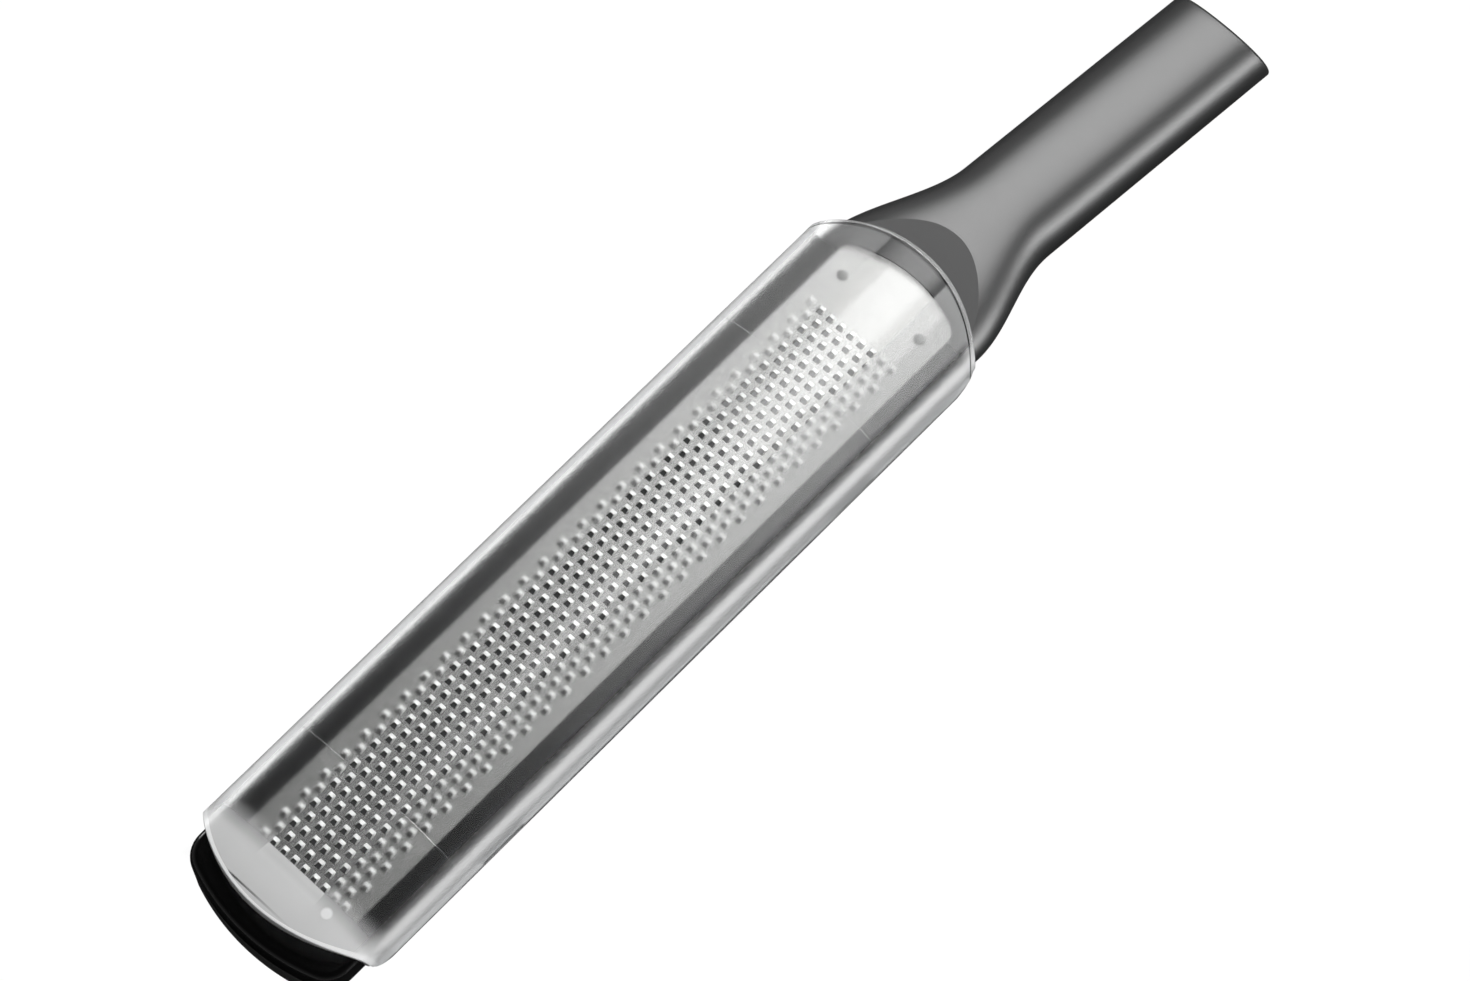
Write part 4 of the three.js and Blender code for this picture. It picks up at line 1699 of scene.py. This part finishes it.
    def build(self, placement: Placement, clear: Material) -> None:
        """Makes the cover and the fine lines on its sides.

        Args:
            placement: Where the blade's plane lies.
            clear: Finish of the cover.
        """
        shell = self.shell().build("cover_shell", placement, sharp_angle=35.0)
        dress(shell, clear, Body.COVER, Slot.CLEAR, "cover")
        for end, x in zip(("front", "rear"), self.line_places):
            for side in Side:
                name = f"cover_line_{end}_{side.name.lower()}"
                line = self.line(x, side).build(name, placement, sharp_angle=60.0)
                dress(line, clear, Body.COVER, Slot.CLEAR)


@dataclass(frozen=True)
class Softbox:
    """A rectangular lamp of an even brightness.

    Attributes:
        name: Name of the lamp.
        place: Its middle, in metres.
        target: The point that it faces.
        size: Its width and height, in metres.
        brightness: Its brightness, where 1 is that of a white surface in plain light.
    """

    name: str
    place: Triple
    target: Triple
    size: Pair
    brightness: float

    def build(self) -> None:
        """Makes the lamp: its power is pi times its brightness times its area."""
        data = bpy.data.lights.new(self.name, "AREA")
        data.shape = "RECTANGLE"
        data.size, data.size_y = self.size
        data.energy = math.pi * self.brightness * self.size[0] * self.size[1]
        lamp = bpy.data.objects.new(self.name, data)
        facing = Vector(self.target) - Vector(self.place)
        lamp.rotation_euler = facing.to_track_quat("-Z", "Y").to_euler()
        lamp.location = self.place
        bpy.context.scene.collection.objects.link(lamp)


@dataclass(frozen=True)
class FloorArea:
    """An area of the floor with a soft edge, in metres.

    Attributes:
        x: Where it starts and ends in x.
        y: Where it starts and ends in y.
        edge: Width of the soft edge inside it.
    """

    x: Pair
    y: Pair
    edge: float

    def outside(self, nodes: Nodes) -> Socket:
        """Tells the floor outside the area from the floor inside it.

        Args:
            nodes: The floor's nodes.

        Returns:
            0 inside and 1 outside.
        """
        reach = []
        for axis, (low, high) in ((AXIS_X, self.x), (AXIS_Y, self.y)):
            aside = nodes.math("ABSOLUTE", nodes.along(axis, (low + high) / 2))
            reach.append(nodes.math("SUBTRACT", aside, (high - low) / 2))
        return nodes.ramp(nodes.highest(*reach), (-self.edge, 0.0), (0.0, 1.0))


@dataclass(frozen=True)
class Studio:
    """The white floor, the lamps, the sky and the camera.

    Attributes:
        floor_half: Half the floor's width, in metres.
        floor_colour: Grey of the floor under its glow.
        window_shade_colour: Grey of the floor under the open window, a painted shade.
        floor_roughness: Roughness of the floor.
        floor_glow: Share of the floor's white that doesn't depend on the lamps.
        glow_strength: Strength of the glow, where 1 is white.
        under_blade: Floor under the open window, painted dark as shade.
        under_body: Floor in the object's soft shade.
        shade: Share of white that is left in the middle of that shade.
        painted_window_light: Share of white of the floor under the window, in front and behind, a painted
            light seen through the openings.
        window_step: Where in x it changes from the one to the other, in metres.
        shaded: Floor round the object that mirrors show by its own light.
        sky_low: Brightness of the sky at the horizon.
        sky_high: Brightness of the sky overhead.
        sky_span: Where the one changes to the other, as a direction's share upward.
        sky_glow: Brightness of the sky overhead towards the handle.
        glow_axis: Axis along which that glow grows.
        glow_span: Where it starts and is full, as a direction's share along that axis.
        glow_bounds: Its other edges: an axis, a span along it and the glow's shares there.
        camera_place: The camera in the blade's plane, in millimetres.
        camera_forward: Its viewing direction there.
        camera_up: Its upward direction there.
        lens: Focal length, in millimetres.
        picture_width: Width of the camera's picture, in millimetres.
        view_end: How far the camera sees, in metres.
        softboxes: The lamps.
    """

    floor_half: float = 4.0
    floor_colour: float = 0.05
    window_shade_colour: float = 0.01
    floor_roughness: float = 0.9
    floor_glow: float = 0.92
    glow_strength: float = 1.1
    under_blade: FloorArea = FloorArea((-0.17, 0.06), (-0.016, 0.028), 0.004)
    under_body: FloorArea = FloorArea((-0.182, 0.07), (-0.019, 0.035), 0.022)
    shade: float = 0.35
    painted_window_light: Pair = (0.04, 0.3)
    window_step: Pair = (-0.004, 0.014)
    shaded: FloorArea = FloorArea((-0.7, 0.7), (-0.6, 0.6), 0.2)
    sky_low: float = 0.2
    sky_high: float = 0.03
    sky_span: Pair = (0.1, 0.75)
    sky_glow: float = 2.28
    glow_axis: Triple = (1.0, -0.9, 0.0)
    glow_span: Pair = (-0.15, -0.011)
    glow_bounds: tuple[tuple[Triple, Pair, Pair], ...] = (
        (AXIS_Y, (0.12, 0.22), (0.0, 1.0)),
        (AXIS_Z, (0.78, 0.9), (0.0, 1.0)),
    )
    camera_place: Triple = (-195.9, -383.2, 1205.6)
    camera_forward: Triple = (0.2685, 0.2865, -0.9197)
    camera_up: Triple = (0.674, 0.6262, 0.3919)
    lens: float = 127.47
    picture_width: float = 36.0
    view_end: float = 50.0
    softboxes: tuple[Softbox, ...] = (
        Softbox("behind", (1.15, 0.36, 1.13), (0.1, 0.0, 0.03), (1.7, 0.95), 6.6),
        Softbox("left", (0.18, 1.2, 0.25), (0.0, 0.0, 0.03), (0.6, 0.3), 6.4),
        Softbox("right", (0.64, -1.03, 0.27), (0.1, 0.0, 0.03), (1.2, 0.4), 9.5),
    )

    def floor(self) -> None:
        """Makes the floor: it glows white for what sees it, and keeps the shadow under the object."""
        h = self.floor_half
        mesh = bpy.data.meshes.new("floor")
        mesh.from_pydata([(-h, -h, 0), (h, -h, 0), (h, h, 0), (-h, h, 0)], [], [(0, 1, 2, 3)])
        nodes = Nodes("white_floor")
        nodes.set(Roughness=self.floor_roughness, Specular_IOR_Level=0.0)
        rays = nodes.new("LightPath").outputs
        # Painted shade: the floor under the open window is dark, and through the openings it shows a painted
        # light that grows from front to rear.
        open_floor = self.under_blade.outside(nodes)
        nodes.tint(open_floor, (self.window_shade_colour,) * 3, (self.floor_colour,) * 3)
        soft = nodes.ramp(self.under_body.outside(nodes), (0.0, 1.0), (self.shade, 1.0))
        window = nodes.ramp(nodes.along(AXIS_X), self.window_step, self.painted_window_light)
        mirrored = nodes.product(rays["Is Glossy Ray"], self.shaded.outside(nodes))
        indirect = nodes.highest(rays["Is Transmission Ray"], mirrored)
        seen = nodes.highest(nodes.product(rays["Is Camera Ray"], soft),
                             nodes.product(indirect, nodes.highest(open_floor, window)))
        glow = nodes.new("Emission")
        nodes.fill(glow.inputs["Strength"], self.glow_strength)
        mix = nodes.new("MixShader")
        shaders = nodes.shader.outputs["BSDF"], glow.outputs["Emission"]
        for target, value in zip(mix.inputs, (nodes.product(seen, self.floor_glow), *shaders)):
            nodes.fill(target, value)
        nodes.fill(nodes.surface, mix.outputs["Shader"])
        mesh.materials.append(nodes.material)
        floor = bpy.data.objects.new("floor", mesh)
        bpy.context.scene.collection.objects.link(floor)

    def sky(self) -> None:
        """Makes the sky: pale at the horizon, darker overhead, with a soft glow towards the handle."""
        world = bpy.data.worlds.new("studio")
        world.use_nodes = True
        nodes = NodeTree(world.node_tree, "Generated")
        glow = nodes.ramp(nodes.along(self.glow_axis), self.glow_span, (0.0, self.sky_glow))
        for axis, span, shares in self.glow_bounds:
            glow = nodes.product(glow, nodes.ramp(nodes.along(axis), span, shares))
        plain = nodes.ramp(nodes.along(AXIS_Z), self.sky_span, (self.sky_low, self.sky_high))
        background = world.node_tree.nodes["Background"]
        nodes.fill(background.inputs["Strength"], nodes.math("ADD", plain, glow))
        nodes.fill(background.inputs["Color"], (1.0, 1.0, 1.0, 1.0))
        bpy.context.scene.world = world

    def camera(self, placement: Placement) -> None:
        """Makes the camera from its place and directions in the blade's plane.

        Args:
            placement: Where the blade's plane lies.
        """
        turn = placement.turn()
        forward, up = (turn @ np.array(v) for v in (self.camera_forward, self.camera_up))
        right = np.cross(forward, up)
        data = bpy.data.cameras.new("camera")
        data.lens = self.lens
        data.sensor_width = self.picture_width
        data.clip_end = self.view_end
        camera = bpy.data.objects.new("camera", data)
        axes = np.column_stack([right, up, -forward])
        axes = axes / np.linalg.norm(axes, axis=0)
        place = placement.to_row(np.array([self.camera_place]))[0]
        camera.matrix_world = Matrix.Translation(place) @ Matrix(axes.tolist()).to_4x4()
        bpy.context.scene.collection.objects.link(camera)
        bpy.context.scene.camera = camera

    def build(self, placement: Placement) -> None:
        """Makes the floor, the sky, the lamps and the camera.

        Args:
            placement: Where the blade's plane lies.
        """
        self.floor()
        self.sky()
        for softbox in self.softboxes:
            softbox.build()
        self.camera(placement)
        bpy.context.scene.view_settings.view_transform = "Standard"


def main() -> None:
    """Builds the pieces and the studio."""
    logging.basicConfig(level=logging.INFO, format="%(name)s: %(message)s")
    blade, body, handle, cover = Blade(), Frame(), Handle(), Cover()
    placement = Placement.from_frame(blade.thickness)
    black = MouldedPlastic(
        "black_frame_plastic", dark=(0.0016, 0.0016, 0.0018), pale=(0.0022, 0.0022, 0.0024),
        roughness=(0.14, 0.2), specular=0.7, grain=0.5, depth=0.002)
    satin = MouldedPlastic(
        "satin_handle_plastic", dark=(0.008, 0.0082, 0.0084), pale=(0.012, 0.0122, 0.0124),
        roughness=(0.34, 0.42), specular=0.85, grain=0.3, depth=0.006)
    rubber = MouldedPlastic(
        "sole_rubber", dark=(0.14, 0.14, 0.14), pale=(0.2, 0.2, 0.2),
        roughness=(0.6, 0.75), specular=0.3, grain=0.4, depth=0.02)
    steel = SatinSteel(
        "satin_blade_steel", dark=(0.61, 0.607, 0.597), pale=(0.73, 0.726, 0.715), roughness=(0.185, 0.235))
    # Painted light: the teeth get a paler, partly matt copy of the blade's steel, so that their hoods look
    # lit.
    tooth_steel = SatinSteel(
        "tooth_steel_painted_light", dark=(0.86, 0.86, 0.85), pale=(0.92, 0.92, 0.91), roughness=(0.49, 0.57),
        metallic=0.72)
    rivet_steel = SatinSteel(
        "satin_rivet_steel", dark=(0.36, 0.36, 0.355), pale=(0.42, 0.42, 0.414), roughness=(0.5, 0.6))
    blade.build(placement, steel.material(), tooth_steel.material(), rivet_steel.material())
    body.build(placement, blade, black.material(), rubber.material())
    handle.build(placement, body.seam_x, blade, satin.material())
    cover.build(placement, ClearPlastic().material(placement, cover))
    Studio().build(placement)


if __name__ == "__main__":
    main()
